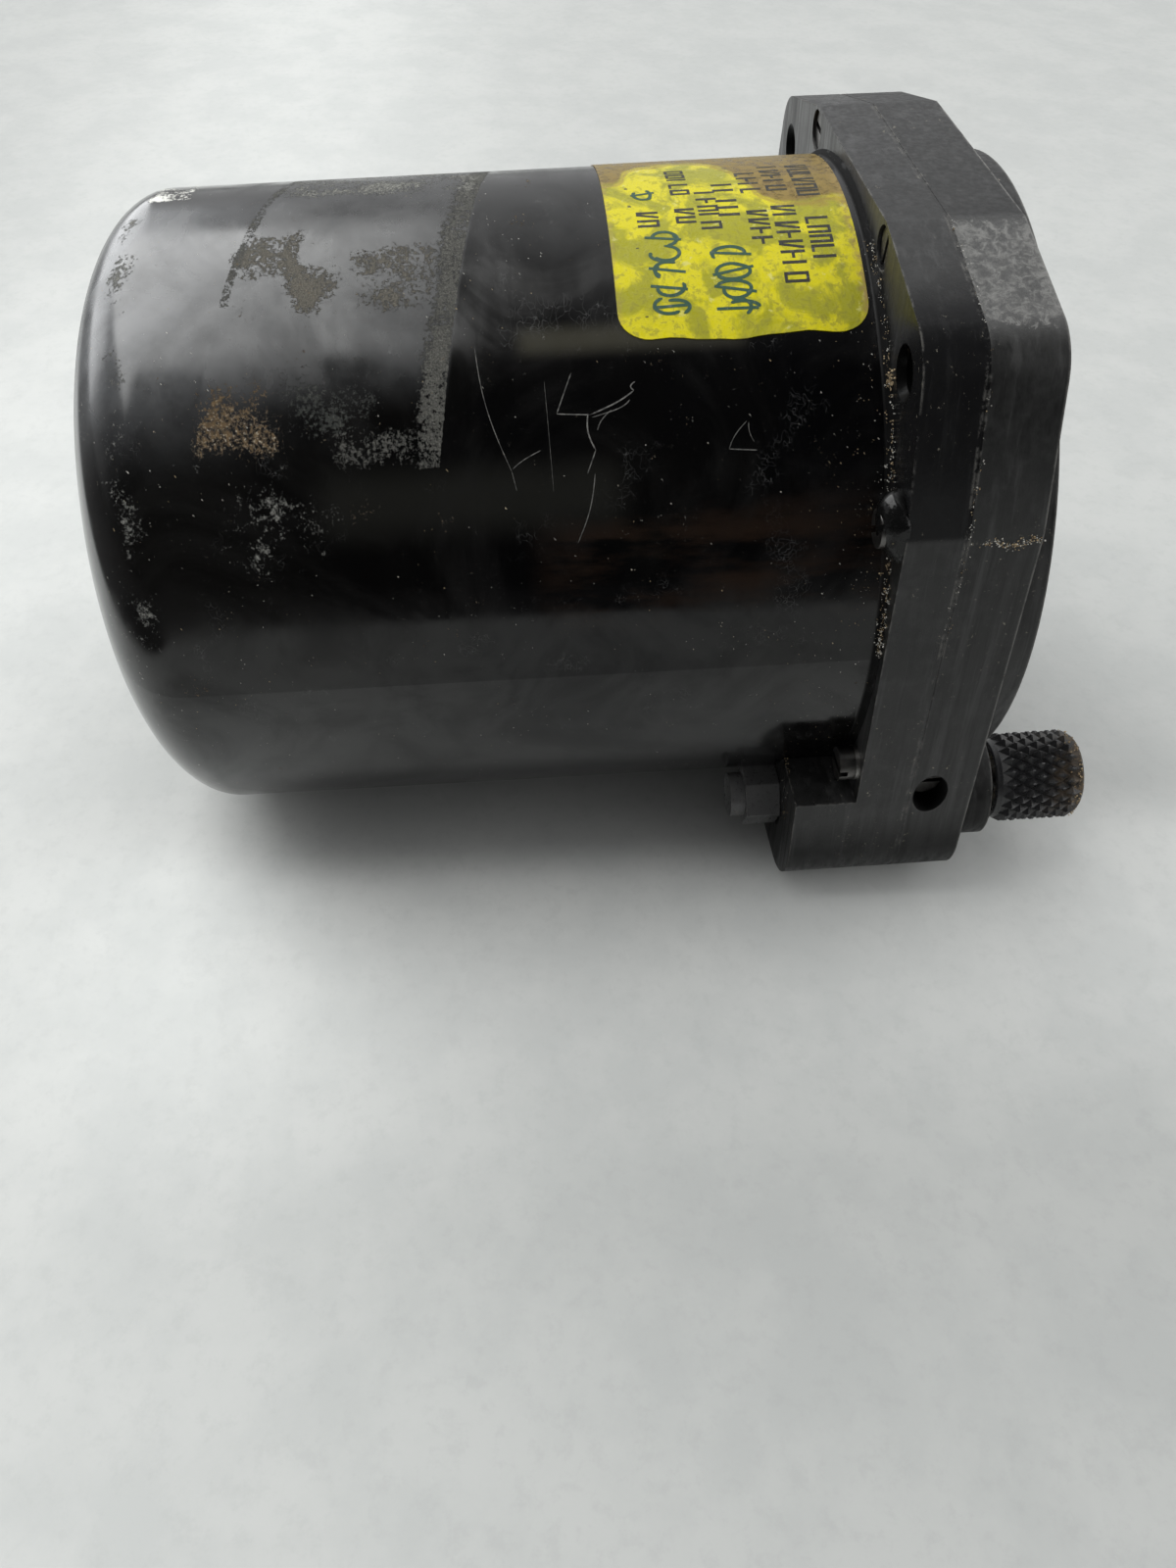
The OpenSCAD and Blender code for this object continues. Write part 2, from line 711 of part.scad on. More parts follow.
module dial_screws() {
    head = 0.5;
    color("#2b2b2b") for (a = dial_screw_dirs)
        rotate([0, -a, 0]) {
            disc(small_screw_r, dial_y, support_back, dial_screw_at);
            disc(small_screw_r * 1.8, dial_y - head, dial_y, dial_screw_at);
        }
}

module dial_support() {
    hub_r = scale_bore_r - run_gap;
    hub_wall = 1.3;
    color("#b5a46b") difference() {
        union() {
            disc(support_r, support_y, support_back);
            disc(hub_r, support_back, scale_back + gear_gap / 2);
            disc(idler_stud_base, support_back, scale_y - gear_gap / 2, idler_x, idler_z);
        }
        disc(hub_r - hub_wall, support_back, idler_back);
        disc(centre_bore, 0, idler_back);
        window_cut(1, support_y - 1, support_back + 0.01);
        disc(shaft_r + pocket_clear, 0, idler_back, knob_x, knob_z);
        disc(stud_r, 0, idler_back, idler_x, idler_z);
        for (s = [-1, 1]) disc(stud_r, 0, idler_back, s * reduction_at);
        for (a = support_screw_dirs)
            disc(small_screw_r, 0, support_back + 1, support_screw_at * cos(a), support_screw_at * sin(a));
        for (a = dial_screw_dirs)
            disc(small_screw_r, 0, support_back + 1, dial_screw_at * cos(a), dial_screw_at * sin(a));
    }
}

module support_screws() {
    head = 0.5;
    color("#9a9a9a") for (a = support_screw_dirs)
        rotate([0, -a, 0]) {
            disc(small_screw_r, ledge_back + 1.2, support_back, support_screw_at);
            disc(small_screw_r * 1.5, support_back, support_back + head, support_screw_at);
        }
}

module gear_studs() {
    color("#c9a94e") {
        for (s = [-1, 1]) disc(stud_r, support_y, stud_back, s * reduction_at);
        disc(stud_r, support_y, idler_back + 0.3, idler_x, idler_z);
    }
}

module scale_keeper() {
    lip = 1;
    wall = 1.3;
    color("#b5a46b") ring(scale_bore_r + lip, scale_bore_r - run_gap - wall, scale_back + gear_gap / 2,
        scale_back + gear_gap);
}

module knob_bushing() {
    color("#a8863a") ring(bushing_r, shaft_r + run_gap, boss_y, boss_y + bushing_len, knob_x, knob_z);
}

module shaft_seal() {
    color("#0a0a0a") ring(seal_r, shaft_r + run_gap, housing_back - seal_room, housing_back - seal_room + seal_len,
        knob_x, knob_z);
}

module gland_nut() {
    color("#232326") difference() {
        union() {
            along_y(housing_back, nut_back, knob_x, knob_z) circle(r = nut_corner_r, $fn = 6);
            disc(nut_cap_r, nut_back, nut_back + nut_cap_len, knob_x, knob_z);
            disc(seal_r - fit_gap, housing_back - seal_room + seal_len, housing_back, knob_x, knob_z);
        }
        disc(shaft_r + run_gap, housing_back - seal_room, nut_back, knob_x, knob_z);
    }
}

module port_insert() {
    color("#b08d3c") ring(port_r, port_thread_r, rear_y - port_len, port_y);
}

module bearing_ring() {
    color("#b9a35a") ring(barrel_bore_r, carrier_r + run_gap, bearing_y, bearing_back);
}

module label() {
    y0 = flange_back + label_start;
    y1 = y0 + label_w;
    glue = 0.02;
    r0 = barrel_r_at(y0) + glue;
    r1 = barrel_r_at(y1) + glue;
    color("#e6d91e") rotate([-90, 0, 0]) rotate([0, 0, -label_low]) rotate_extrude(angle = label_low - label_high)
        polygon([[r0, y0], [r0 + label_t, y0], [r1 + label_t, y1], [r1, y1]]);
}

module lock_screw() {
    screw_len = side_hole_depth / 2;
    color("#6c6c6e") difference() {
        translate([side_hole_depth - screw_len - flange_half, front_plate_t - side_hole_r - 0.3, side_hole_z])
            rotate([0, 90, 0]) cylinder(h = screw_len, r = side_hole_r - fit_gap);
        translate([side_hole_depth - screw_len - flange_half, front_plate_t - side_hole_r - 0.3, side_hole_z])
            cube([1, side_hole_r * 3, 0.6], center = true);
    }
}

module setting_knob() {
    chamfer = 0.9;
    groove_w = knurl_depth * 2;
    set_screw_y = knob_back - collar_len / 2;
    color("#18181a") difference() {
        turned(knob_x, knob_z) polygon([
            [0, knob_y], [knob_r - chamfer, knob_y], [knob_r, knob_y + chamfer],
            [knob_r, knob_back - collar_len], [collar_r, knob_back - collar_len], [collar_r, knob_back], [0, knob_back]
        ]);
        disc(shaft_r, knob_y + knob_wall, knob_back + 1, knob_x, knob_z);
        for (i = [0:knurl_count - 1])
            translate([knob_x, 0, knob_z]) rotate([0, 360 * i / knurl_count, 0])
                translate([knob_r, knob_back - collar_len + 1, 0]) rotate([90, 0, 0])
                    cylinder(h = knob_len + 2, r = knurl_depth, $fn = 4);
        translate([knob_x, set_screw_y, knob_z]) rotate([0, 90, 0])
            cylinder(h = knob_r + 1, r = collar_len / 3);
    }
}

module knob_set_screw() {
    set_screw_y = knob_back - collar_len / 2;
    color("#5a5a5c") translate([knob_x + shaft_r, set_screw_y, knob_z]) rotate([0, 90, 0])
        cylinder(h = collar_r - shaft_r - 0.3, r = collar_len / 3);
}

module knob_shaft() {
    color("#9c9ea1") disc(shaft_r, knob_y + knob_wall, nut_back - free_gap, knob_x, knob_z);
}

module drive_pinion() {
    color("#b59543") gear(drive_teeth, drive_module, shaft_r, ring_y, ring_back, knob_dir + 180, knob_x, knob_z);
}

module scale_pinion() {
    color("#b59543") gear(scale_pinion_teeth, scale_m, shaft_r, idler_y, idler_back, knob_dir + 180, knob_x, knob_z);
}

module shaft_clip() {
    clip_r = 3.2;
    color("#77797c") ring(clip_r, shaft_r, ring_back, ring_back + gear_gap, knob_x, knob_z);
}

module scale_idler() {
    color("#c2a24a") difference() {
        union() {
            gear(scale_wheel_teeth, scale_m, stud_r + run_gap, idler_y, idler_back,
                knob_dir + 180 / scale_wheel_teeth, idler_x, idler_z);
            gear(scale_idler_teeth, ring_module, stud_r + run_gap, scale_y, scale_back, knob_dir + 180, idler_x, idler_z);
            disc(2, scale_y, idler_back, idler_x, idler_z);
        }
        disc(stud_r + run_gap, 0, flange_back, idler_x, idler_z);
    }
}

module pressure_scale() {
    color("#17171a") gear(scale_ring_teeth, ring_module, scale_bore_r, scale_y, scale_back,
        knob_dir + 180 / scale_ring_teeth);
}

module carrier() {
    hollow_r = carrier_r - 2;
    color("#9da0a4") difference() {
        union() {
            gear(ring_teeth, drive_module, hollow_r, ring_y, ring_back, knob_dir + 180 / ring_teeth);
            disc(carrier_r, ring_back - 0.1, carrier_back);
        }
        disc(hollow_r, ring_y - 1, carrier_y);
        disc(staff_r + run_gap, carrier_y - 1, carrier_back + 1);
        for (p = [arbor_a, arbor_b]) disc(pivot_r + run_gap, carrier_back - pivot_len, carrier_back + 1, p[0], p[1]);
        for (a = front_pillar_dirs) disc(small_screw_r, 0, carrier_back + 1, pillar_at * cos(a), pillar_at * sin(a));
    }
}

module carrier_keeper() {
    keeper_in = pillar_at - pillar_r - 1;
    keeper_out = carrier_r + 1.4;
    color("#8a8d91") difference() {
        ring(keeper_out, keeper_in, carrier_back, carrier_back + keeper_t);
        for (a = front_pillar_dirs)
            disc(pillar_r + fit_gap, 0, rear_y, pillar_at * cos(a), pillar_at * sin(a));
    }
}

module back_plate() {
    color("#a3a6aa") difference() {
        disc(carrier_r, back_plate_y, back_plate_back);
        disc(pivot_r + run_gap, back_plate_y - 1, back_plate_y + pivot_len);
        disc(pivot_r + run_gap, back_plate_y - 1, back_plate_y + pivot_len, arbor_b[0], arbor_b[1]);
        disc(arbor_r + run_gap, back_plate_y - 1, back_plate_back + 1, arbor_a[0], arbor_a[1]);
        disc(pivot_r + run_gap, back_plate_back - pivot_len, back_plate_back + 1, rocker_x, rocker_z);
        for (a = front_pillar_dirs)
            disc(small_screw_r, 0, back_plate_back + 1, pillar_at * cos(a), pillar_at * sin(a));
    }
}

module front_pillars() {
    color("#c0c2c5") for (a = front_pillar_dirs)
        rotate([0, -a, 0]) ring(pillar_r, small_screw_r, carrier_back, back_plate_y, pillar_at);
}

module rear_plate() {
    color("#a3a6aa") difference() {
        disc(carrier_r, rear_plate_y, rear_plate_back);
        disc(carrier_r / 3, rear_plate_y - 1, rear_plate_back + 1, 0, -carrier_r / 3);
        disc(pivot_r + run_gap, rear_plate_y - 1, rear_plate_back + 1, rocker_x, rocker_z);
        for (a = rear_pillar_dirs)
            disc(small_screw_r, 0, rear_plate_back + 1, pillar_at * cos(a), pillar_at * sin(a));
    }
}

module rear_pillars() {
    color("#c0c2c5") for (a = rear_pillar_dirs)
        rotate([0, -a, 0]) difference() {
            disc(pillar_r, back_plate_back, rear_plate_y, pillar_at);
            disc(small_screw_r, rear_plate_y - 4, rear_y, pillar_at);
        }
}

module pillar_screws() {
    head = 0.9;
    color("#7e8184") {
        for (a = front_pillar_dirs)
            rotate([0, -a, 0]) {
                disc(small_screw_r, carrier_y + head, back_plate_back, pillar_at);
                disc(small_screw_r * 1.6, back_plate_back, back_plate_back + head, pillar_at);
            }
        for (a = rear_pillar_dirs)
            rotate([0, -a, 0]) {
                disc(small_screw_r, rear_plate_y - 3.5, rear_plate_back, pillar_at);
                disc(small_screw_r * 1.8, rear_plate_back, rear_plate_back + head, pillar_at);
            }
    }
}

module capsule_bracket() {
    lug = 7;
    color("#8f9296") {
        translate([-bracket_half, back_plate_back, capsule_foot_z - bracket_t])
            cube([2 * bracket_half, capsule_at + bracket_half, bracket_t]);
        translate([-bracket_half, back_plate_back, capsule_foot_z - bracket_t - lug])
            cube([2 * bracket_half, bracket_t, lug + 0.1]);
    }
}

module pressure_capsules() {
    boss = 3;
    dish = 0.55;
    half = capsule_h / 2;
    color("#c6b27a") translate([0, capsule_y, 0]) rotate_extrude() polygon(concat(
        [[0, capsule_foot_z]],
        [
            for (i = [0:capsule_count - 1])
                for (p = [
                    [boss, -half], [boss, -half + dish], [capsule_r * 0.45, -half + 2 * dish],
                    [capsule_r * 0.6, -half + dish], [capsule_r * 0.85, -half + 2 * dish], [capsule_r, -dish / 2],
                    [capsule_r, dish / 2], [capsule_r * 0.85, half - 2 * dish], [capsule_r * 0.6, half - dish],
                    [capsule_r * 0.45, half - 2 * dish], [boss, half - dish], [boss, half]
                ])
                    [p[0], capsule_foot_z + (i + 0.5) * capsule_h + p[1]]
        ],
        [[0, capsule_top]]
    ));
}

// The flat spring around the rocking shaft, with its stud on the back plate
module hairspring() {
    spring_y = back_plate_back + spring_at;
    steps = 24;
    post_r = 0.7;
    reach = spring_in + spring_turns * spring_pitch;
    stud = [rocker_x, rocker_z] + polar(reach, spring_stud_dir);
    function at(i, side) =
        polar(spring_in + spring_pitch * i / steps + side * spring_w / 2, spring_stud_dir + 360 * i / steps);
    color("#4d6a8c") {
        along_y(spring_y, spring_y + 0.6, rocker_x, rocker_z) polygon(concat(
            [for (i = [0:spring_turns * steps]) at(i, 1)],
            [for (i = [spring_turns * steps:-1:0]) at(i, -1)]
        ));
        disc(post_r, back_plate_back, spring_y + 0.6, stud[0], stud[1]);
    }
}

// Flat pointer of straight edges, pointing up, from [half width, height] pairs
module pointer_plate(y, outline) {
    along_y(y, y + pointer_t) polygon(concat(
        outline,
        [for (i = [len(outline) - 1:-1:0]) [-outline[i][0], outline[i][1]]]
    ));
}

module pointer_hub(y, hub_r, bore) {
    difference() {
        disc(hub_r, y - hub_extra, y + pointer_t + hub_extra / 2);
        disc(bore, y - 1, y + 2);
    }
}

module long_pointer() {
    tail = 9;
    color("#f2f2ec") {
        difference() {
            pointer_plate(long_y, [[1.6, -tail], [0.9, -1.5], [0.9, 2], [1.1, long_len - 5], [0.15, long_len]]);
            disc(2, long_y - 1, long_y + 1);
        }
        pointer_hub(long_y, 2.4, staff_r);
    }
}

module long_staff() {
    color("#a9abae") {
        disc(staff_r, long_y - hub_extra, back_plate_y - 0.3);
        disc(pivot_r, back_plate_y - 0.4, back_plate_y + pivot_len - 0.2);
        gear(small_teeth, first_m, staff_r, staff_pinion_y, staff_pinion_y + reduction_t, 0);
        gear(pinion_teeth, train_m, staff_r, wheel_b_y, wheel_b_y + train_gear_t,
            direction([0, 0], arbor_b));
    }
}

module medium_pointer() {
    tail = 6;
    color("#f2f2ec") {
        difference() {
            pointer_plate(medium_y, [[2, -tail], [1, -2], [1, 4], [2.6, medium_len - 7], [0.2, medium_len]]);
            disc(2.2, medium_y - 1, medium_y + 1);
        }
        pointer_hub(medium_y, 2.7, medium_out);
    }
}

module medium_tube() {
    color("#a9abae") {
        ring(medium_out, medium_in, medium_y - tube_end, medium_wheel_y + reduction_t);
        gear(small_teeth, first_m, medium_out, medium_pinion_y, medium_pinion_y + reduction_t, 180);
        gear(tenth_teeth, second_m, medium_out, medium_wheel_y, medium_wheel_y + reduction_t,
            180 / tenth_teeth);
    }
}

module short_pointer() {
    tri = 3.2;
    color("#f2f2ec") {
        difference() {
            pointer_plate(short_y, [[1.4, -6], [0.5, -2], [0.5, short_len - 2 * tri], [tri, short_len - tri * 0.3],
                [0.1, short_len]]);
            disc(2.4, short_y - 1, short_y + 1);
        }
        pointer_hub(short_y, 3, short_out);
    }
}

module short_tube() {
    color("#a9abae") {
        ring(short_out, short_in, short_y - tube_end, short_gear_y + reduction_t);
        gear(tenth_teeth, second_m, short_out, short_gear_y, short_gear_y + reduction_t,
            180 + 180 / tenth_teeth);
    }
}

// Compound idler on one of the two studs, side 1 at the right and -1 at the left
module reduction_idler(side, wheel_y, pinion_y) {
    inward = side == 1 ? 180 : 0;
    color("#c2a24a") difference() {
        union() {
            gear(idler_teeth, first_m, idler_bore, wheel_y, wheel_y + reduction_t,
                inward + 180 / idler_teeth, side * reduction_at);
            gear(small_teeth, second_m, idler_bore, pinion_y, pinion_y + reduction_t, inward, side * reduction_at);
            disc(idler_bore + 0.2, pinion_y, wheel_y + reduction_t, side * reduction_at);
        }
        disc(idler_bore, 0, flange_back + 5, side * reduction_at);
    }
}

module idler_a() {
    reduction_idler(1, staff_pinion_y, medium_wheel_y);
}

module idler_b() {
    reduction_idler(-1, medium_pinion_y, short_gear_y);
}

module idler_a_bush() {
    color("#8b8d90") ring(idler_bush_out, idler_bush_in, medium_wheel_y, staff_pinion_y + reduction_t, reduction_at);
}

module idler_b_bush() {
    color("#8b8d90") ring(idler_bush_out, idler_bush_in, short_gear_y, medium_pinion_y + reduction_t, -reduction_at);
}

module medium_bush() {
    color("#8b8d90") ring(medium_bush_out, medium_bush_in, medium_y, medium_wheel_y + reduction_t);
}

module short_bush() {
    color("#8b8d90") ring(short_bush_out, short_bush_in, short_y, short_gear_y + reduction_t);
}

module train_arbor_a() {
    to_sector = direction(arbor_a, [rocker_x, rocker_z]);
    to_b = direction(arbor_a, arbor_b);
    color("#b8b09a") {
        disc(pivot_r, carrier_back - pivot_len + 0.2, carrier_back + 0.4, arbor_a[0], arbor_a[1]);
        disc(arbor_r, carrier_back + 0.3, sector_y + train_gear_t + 0.4, arbor_a[0], arbor_a[1]);
        gear(wheel_teeth, train_m, arbor_r, wheel_a_y, wheel_a_y + train_gear_t,
            to_b + 180 / wheel_teeth, arbor_a[0], arbor_a[1]);
        gear(pinion_teeth, sector_m, arbor_r, sector_y, sector_y + train_gear_t, to_sector, arbor_a[0], arbor_a[1]);
    }
}

module train_arbor_b() {
    to_staff = direction(arbor_b, [0, 0]);
    to_a = direction(arbor_b, arbor_a);
    color("#b8b09a") {
        disc(pivot_r, carrier_back - pivot_len + 0.2, carrier_back + 0.4, arbor_b[0], arbor_b[1]);
        disc(arbor_r, carrier_back + 0.3, back_plate_y - 0.3, arbor_b[0], arbor_b[1]);
        disc(pivot_r, back_plate_y - 0.4, back_plate_y + pivot_len - 0.2, arbor_b[0], arbor_b[1]);
        gear(wheel_teeth, train_m, arbor_r, wheel_b_y, wheel_b_y + train_gear_t,
            to_staff + 180 / wheel_teeth, arbor_b[0], arbor_b[1]);
        gear(pinion_teeth, train_m, arbor_r, wheel_a_y, wheel_a_y + train_gear_t, to_a, arbor_b[0], arbor_b[1]);
    }
}

module rocking_shaft() {
    color("#a9abae") {
        disc(pivot_r, back_plate_back - pivot_len + 0.2, back_plate_back + 0.4, rocker_x, rocker_z);
        disc(rocker_r, back_plate_back + 0.3, rear_plate_y - 0.3, rocker_x, rocker_z);
        disc(pivot_r, rear_plate_y - 0.4, rear_plate_back - 0.2, rocker_x, rocker_z);
    }
}

module sector_gear() {
    spare = 2;
    pitch = 360 / sector_teeth;
    first = -ceil((sector_high + spare) / pitch);
    last = ceil((sector_low + spare) / pitch);
    start = sector_dir + pitch / 2;
    hub_r = 3;
    color("#c2a24a") difference() {
        union() {
            along_y(sector_y, sector_y + train_gear_t, rocker_x, rocker_z) polygon(concat(
                gear_points(sector_teeth, sector_m, start, first, last),
                [[0, 0]]
            ));
            disc(hub_r, sector_y, sector_y + train_gear_t, rocker_x, rocker_z);
        }
        disc(rocker_r, 0, rear_y, rocker_x, rocker_z);
    }
}

module compensator_arm() {
    hub_r = 2.6;
    half = 1.8;
    past_pin = 1.4 + half;
    y0 = capsule_y - arm_t / 2;
    color("#b06a45") translate([rocker_x, 0, rocker_z]) rotate([0, -arm_rest, 0]) difference() {
        union() {
            disc(hub_r, y0 - 1, y0 + arm_t + 1);
            translate([0, y0, -half]) cube([arm_len + past_pin, arm_t, 2 * half]);
        }
        disc(rocker_r, 0, rear_y);
        disc(pin_r + run_gap, y0 - 1, y0 + arm_t + 1, arm_len);
    }
}

module balance_weight() {
    weight_y = back_plate_back + weight_at;
    weight_len = 4;
    weight_r = 2.8;
    weight_reach = 8.5;
    color("#8a8d91") translate([rocker_x, 0, rocker_z]) rotate([0, -arm_rest, 0]) difference() {
        union() {
            disc(2.4, weight_y, weight_y + weight_len);
            translate([-weight_reach, weight_y, -1]) cube([weight_reach, weight_len, 2]);
            disc(weight_r, weight_y, weight_y + weight_len, -weight_reach);
        }
        disc(rocker_r, 0, rear_y);
    }
}

module link_post() {
    foot = 0.1;
    fork_gap = 0.3;
    reach = arm_t / 2 + fork_gap;
    cheek_h = 3.2;
    color("#b8b09a") {
        translate([0, capsule_y, capsule_top + foot]) cylinder(h = pin_z - cheek_h - capsule_top - foot, r = 1.4);
        translate([-1.4, capsule_y - reach - cheek_t, pin_z - cheek_h - 0.8]) cube([2.8, 2 * (reach + cheek_t), 0.8]);
        for (s = [-1, 1])
            translate([-1.4, capsule_y + s * (reach + cheek_t / 2) - cheek_t / 2, pin_z - cheek_h - 0.1])
                cube([2.8, cheek_t, cheek_h + 1.4]);
        disc(pin_r, capsule_y - reach - 0.1, capsule_y + reach + 0.1, 0, pin_z);
    }
}

case_shell();
front_plate();
flange_gasket();
plate_screws();
screw_washers();
cover_glass();
glass_gasket();
glass_ring();
dial();
dial_spacer();
dial_screws();
dial_support();
support_screws();
gear_studs();
scale_keeper();
knob_bushing();
shaft_seal();
gland_nut();
port_insert();
bearing_ring();
label();
lock_screw();
setting_knob();
knob_shaft();
drive_pinion();
scale_pinion();
knob_set_screw();
shaft_clip();
scale_idler();
pressure_scale();
carrier();
carrier_keeper();
back_plate();
front_pillars();
rear_plate();
rear_pillars();
pillar_screws();
capsule_bracket();
pressure_capsules();
hairspring();
long_pointer();
long_staff();
medium_pointer();
medium_tube();
short_pointer();
short_tube();
idler_a();
idler_b();
idler_a_bush();
idler_b_bush();
medium_bush();
short_bush();
train_arbor_a();
train_arbor_b();
rocking_shaft();
sector_gear();
compensator_arm();
balance_weight();
link_post();
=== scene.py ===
"""Looks of a panel altimeter, seen from the rear left and above on a pale table."""
import math
import random

import bmesh
import bpy
from mathutils import Matrix, Vector


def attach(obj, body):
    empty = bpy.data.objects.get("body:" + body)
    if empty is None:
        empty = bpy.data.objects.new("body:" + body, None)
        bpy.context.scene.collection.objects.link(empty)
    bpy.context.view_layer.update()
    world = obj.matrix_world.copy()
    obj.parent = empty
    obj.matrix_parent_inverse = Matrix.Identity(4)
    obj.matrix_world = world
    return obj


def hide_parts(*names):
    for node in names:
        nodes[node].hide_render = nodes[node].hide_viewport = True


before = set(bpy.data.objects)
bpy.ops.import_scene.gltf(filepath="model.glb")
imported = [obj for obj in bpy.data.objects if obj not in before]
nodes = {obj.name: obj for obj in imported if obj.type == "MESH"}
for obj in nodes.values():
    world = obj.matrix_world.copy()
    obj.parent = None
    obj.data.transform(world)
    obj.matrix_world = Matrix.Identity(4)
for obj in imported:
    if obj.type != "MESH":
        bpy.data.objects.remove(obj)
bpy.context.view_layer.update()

scene = bpy.context.scene
scene.view_settings.view_transform = "Standard"

MM = 0.001

# Outline of the flange, seen along the axis
FLAT = 41.275
FLAT_HALF = 17.6
HOLE_AT = 31.43
CORNER_R = 6.3
KNOB_CORNER = (-32.775, -31.375)
KNOB_CORNER_R = 8.5
MOUNT_SPOTS = [(-HOLE_AT, HOLE_AT), (HOLE_AT, HOLE_AT), (HOLE_AT, -HOLE_AT)]
PROUD_SCREWS = [(a * 38.5, b * 17.5) for a in (-1, 1) for b in (-1, 1)]
SUNK_SCREWS = [(a * 17.5, b * 38.5) for a in (-1, 1) for b in (-1, 1)]

# Stations along the axis
PLATE_BACK = 8.0
FLANGE_FRONT = 8.4
FLANGE_BACK = 14.8
HOUSING_BACK = 22.5
BARREL_BACK = 106.1
EDGE_START = 93.9
KNOB_AXIS = (-30.4, -30.4)
SPIGOT_Y = 14.6
SPIGOT_R = 39.2

# Shared sizes
DEGREE = math.radians(1) * 39.3      # mm around the barrel for one degree
CLEARANCE_R = 2.1
THREAD_R = 1.5
SIDE_HOLE_TALLER = 1.45
SCALE_TURN = 109.23                  # degrees of the pressure scale for one unit
FAR_PALE = (0.62, 0.635, 0.62)


def barrel_radius(y):
    """Radius of the barrel at a station on its straight part, which tapers a little."""
    return 39.4 - 0.6 * (y - FLANGE_BACK) / 79.1


def at(radius, degrees, y):
    """A point at an angle about the axis, counted from the right towards twelve o'clock."""
    a = math.radians(degrees)
    return Vector((radius * math.cos(a), y, radius * math.sin(a)))


# Node helpers


class Value:
    """What a node works out, which takes plain sums."""

    def __init__(self, owner, socket):
        self.owner, self.socket = owner, socket

    def __add__(self, other):
        return self.owner.math("ADD", self, other)

    def __sub__(self, other):
        return self.owner.math("SUBTRACT", self, other)

    def __rsub__(self, other):
        return self.owner.math("SUBTRACT", other, self)

    def __mul__(self, other):
        return self.owner.math("MULTIPLY", self, other)

    def __lt__(self, other):
        return self.owner.math("LESS_THAN", self, other)

    def __gt__(self, other):
        return self.owner.math("GREATER_THAN", self, other)

    def __abs__(self):
        return self.owner.math("ABSOLUTE", self)

    __radd__, __rmul__ = __add__, __mul__


class Tree:
    """A node tree under construction, with short calls for the nodes that it uses."""

    def __init__(self, owner):
        owner.use_nodes = True
        self.tree = owner.node_tree

    def set(self, node, socket, value):
        target = node.inputs[socket]
        if isinstance(value, Value):
            value = value.socket
        if isinstance(value, bpy.types.NodeSocket):
            self.tree.links.new(value, target)
        else:
            colour = target.type == "RGBA" and len(value) == 3
            target.default_value = (*value, 1.0) if colour else value

    def node(self, kind, inputs, **options):
        """A new node, with its inputs by name or number."""
        made = self.tree.nodes.new(kind)
        for key, value in options.items():
            setattr(made, key, value)
        for socket, value in inputs.items():
            self.set(made, socket, value)
        return made

    def value(self, kind, inputs, output=0, **options):
        return Value(self, self.node(kind, inputs, **options).outputs[output])

    def math(self, operation, *values):
        return self.value("ShaderNodeMath", dict(enumerate(values)), operation=operation)

    def vector(self, operation, inputs, output=0):
        return self.value("ShaderNodeVectorMath", inputs, output, operation=operation)

    def most(self, total, *others):
        """The largest of several values."""
        for value in others:
            total = self.math("MAXIMUM", total, value)
        return total

    def length(self, a, b):
        return self.math("SQRT", a * a + b * b)

    def parts(self, vector):
        """The three numbers of a place or a colour."""
        return [Value(self, part) for part in self.node("ShaderNodeSeparateXYZ", {0: vector}).outputs]


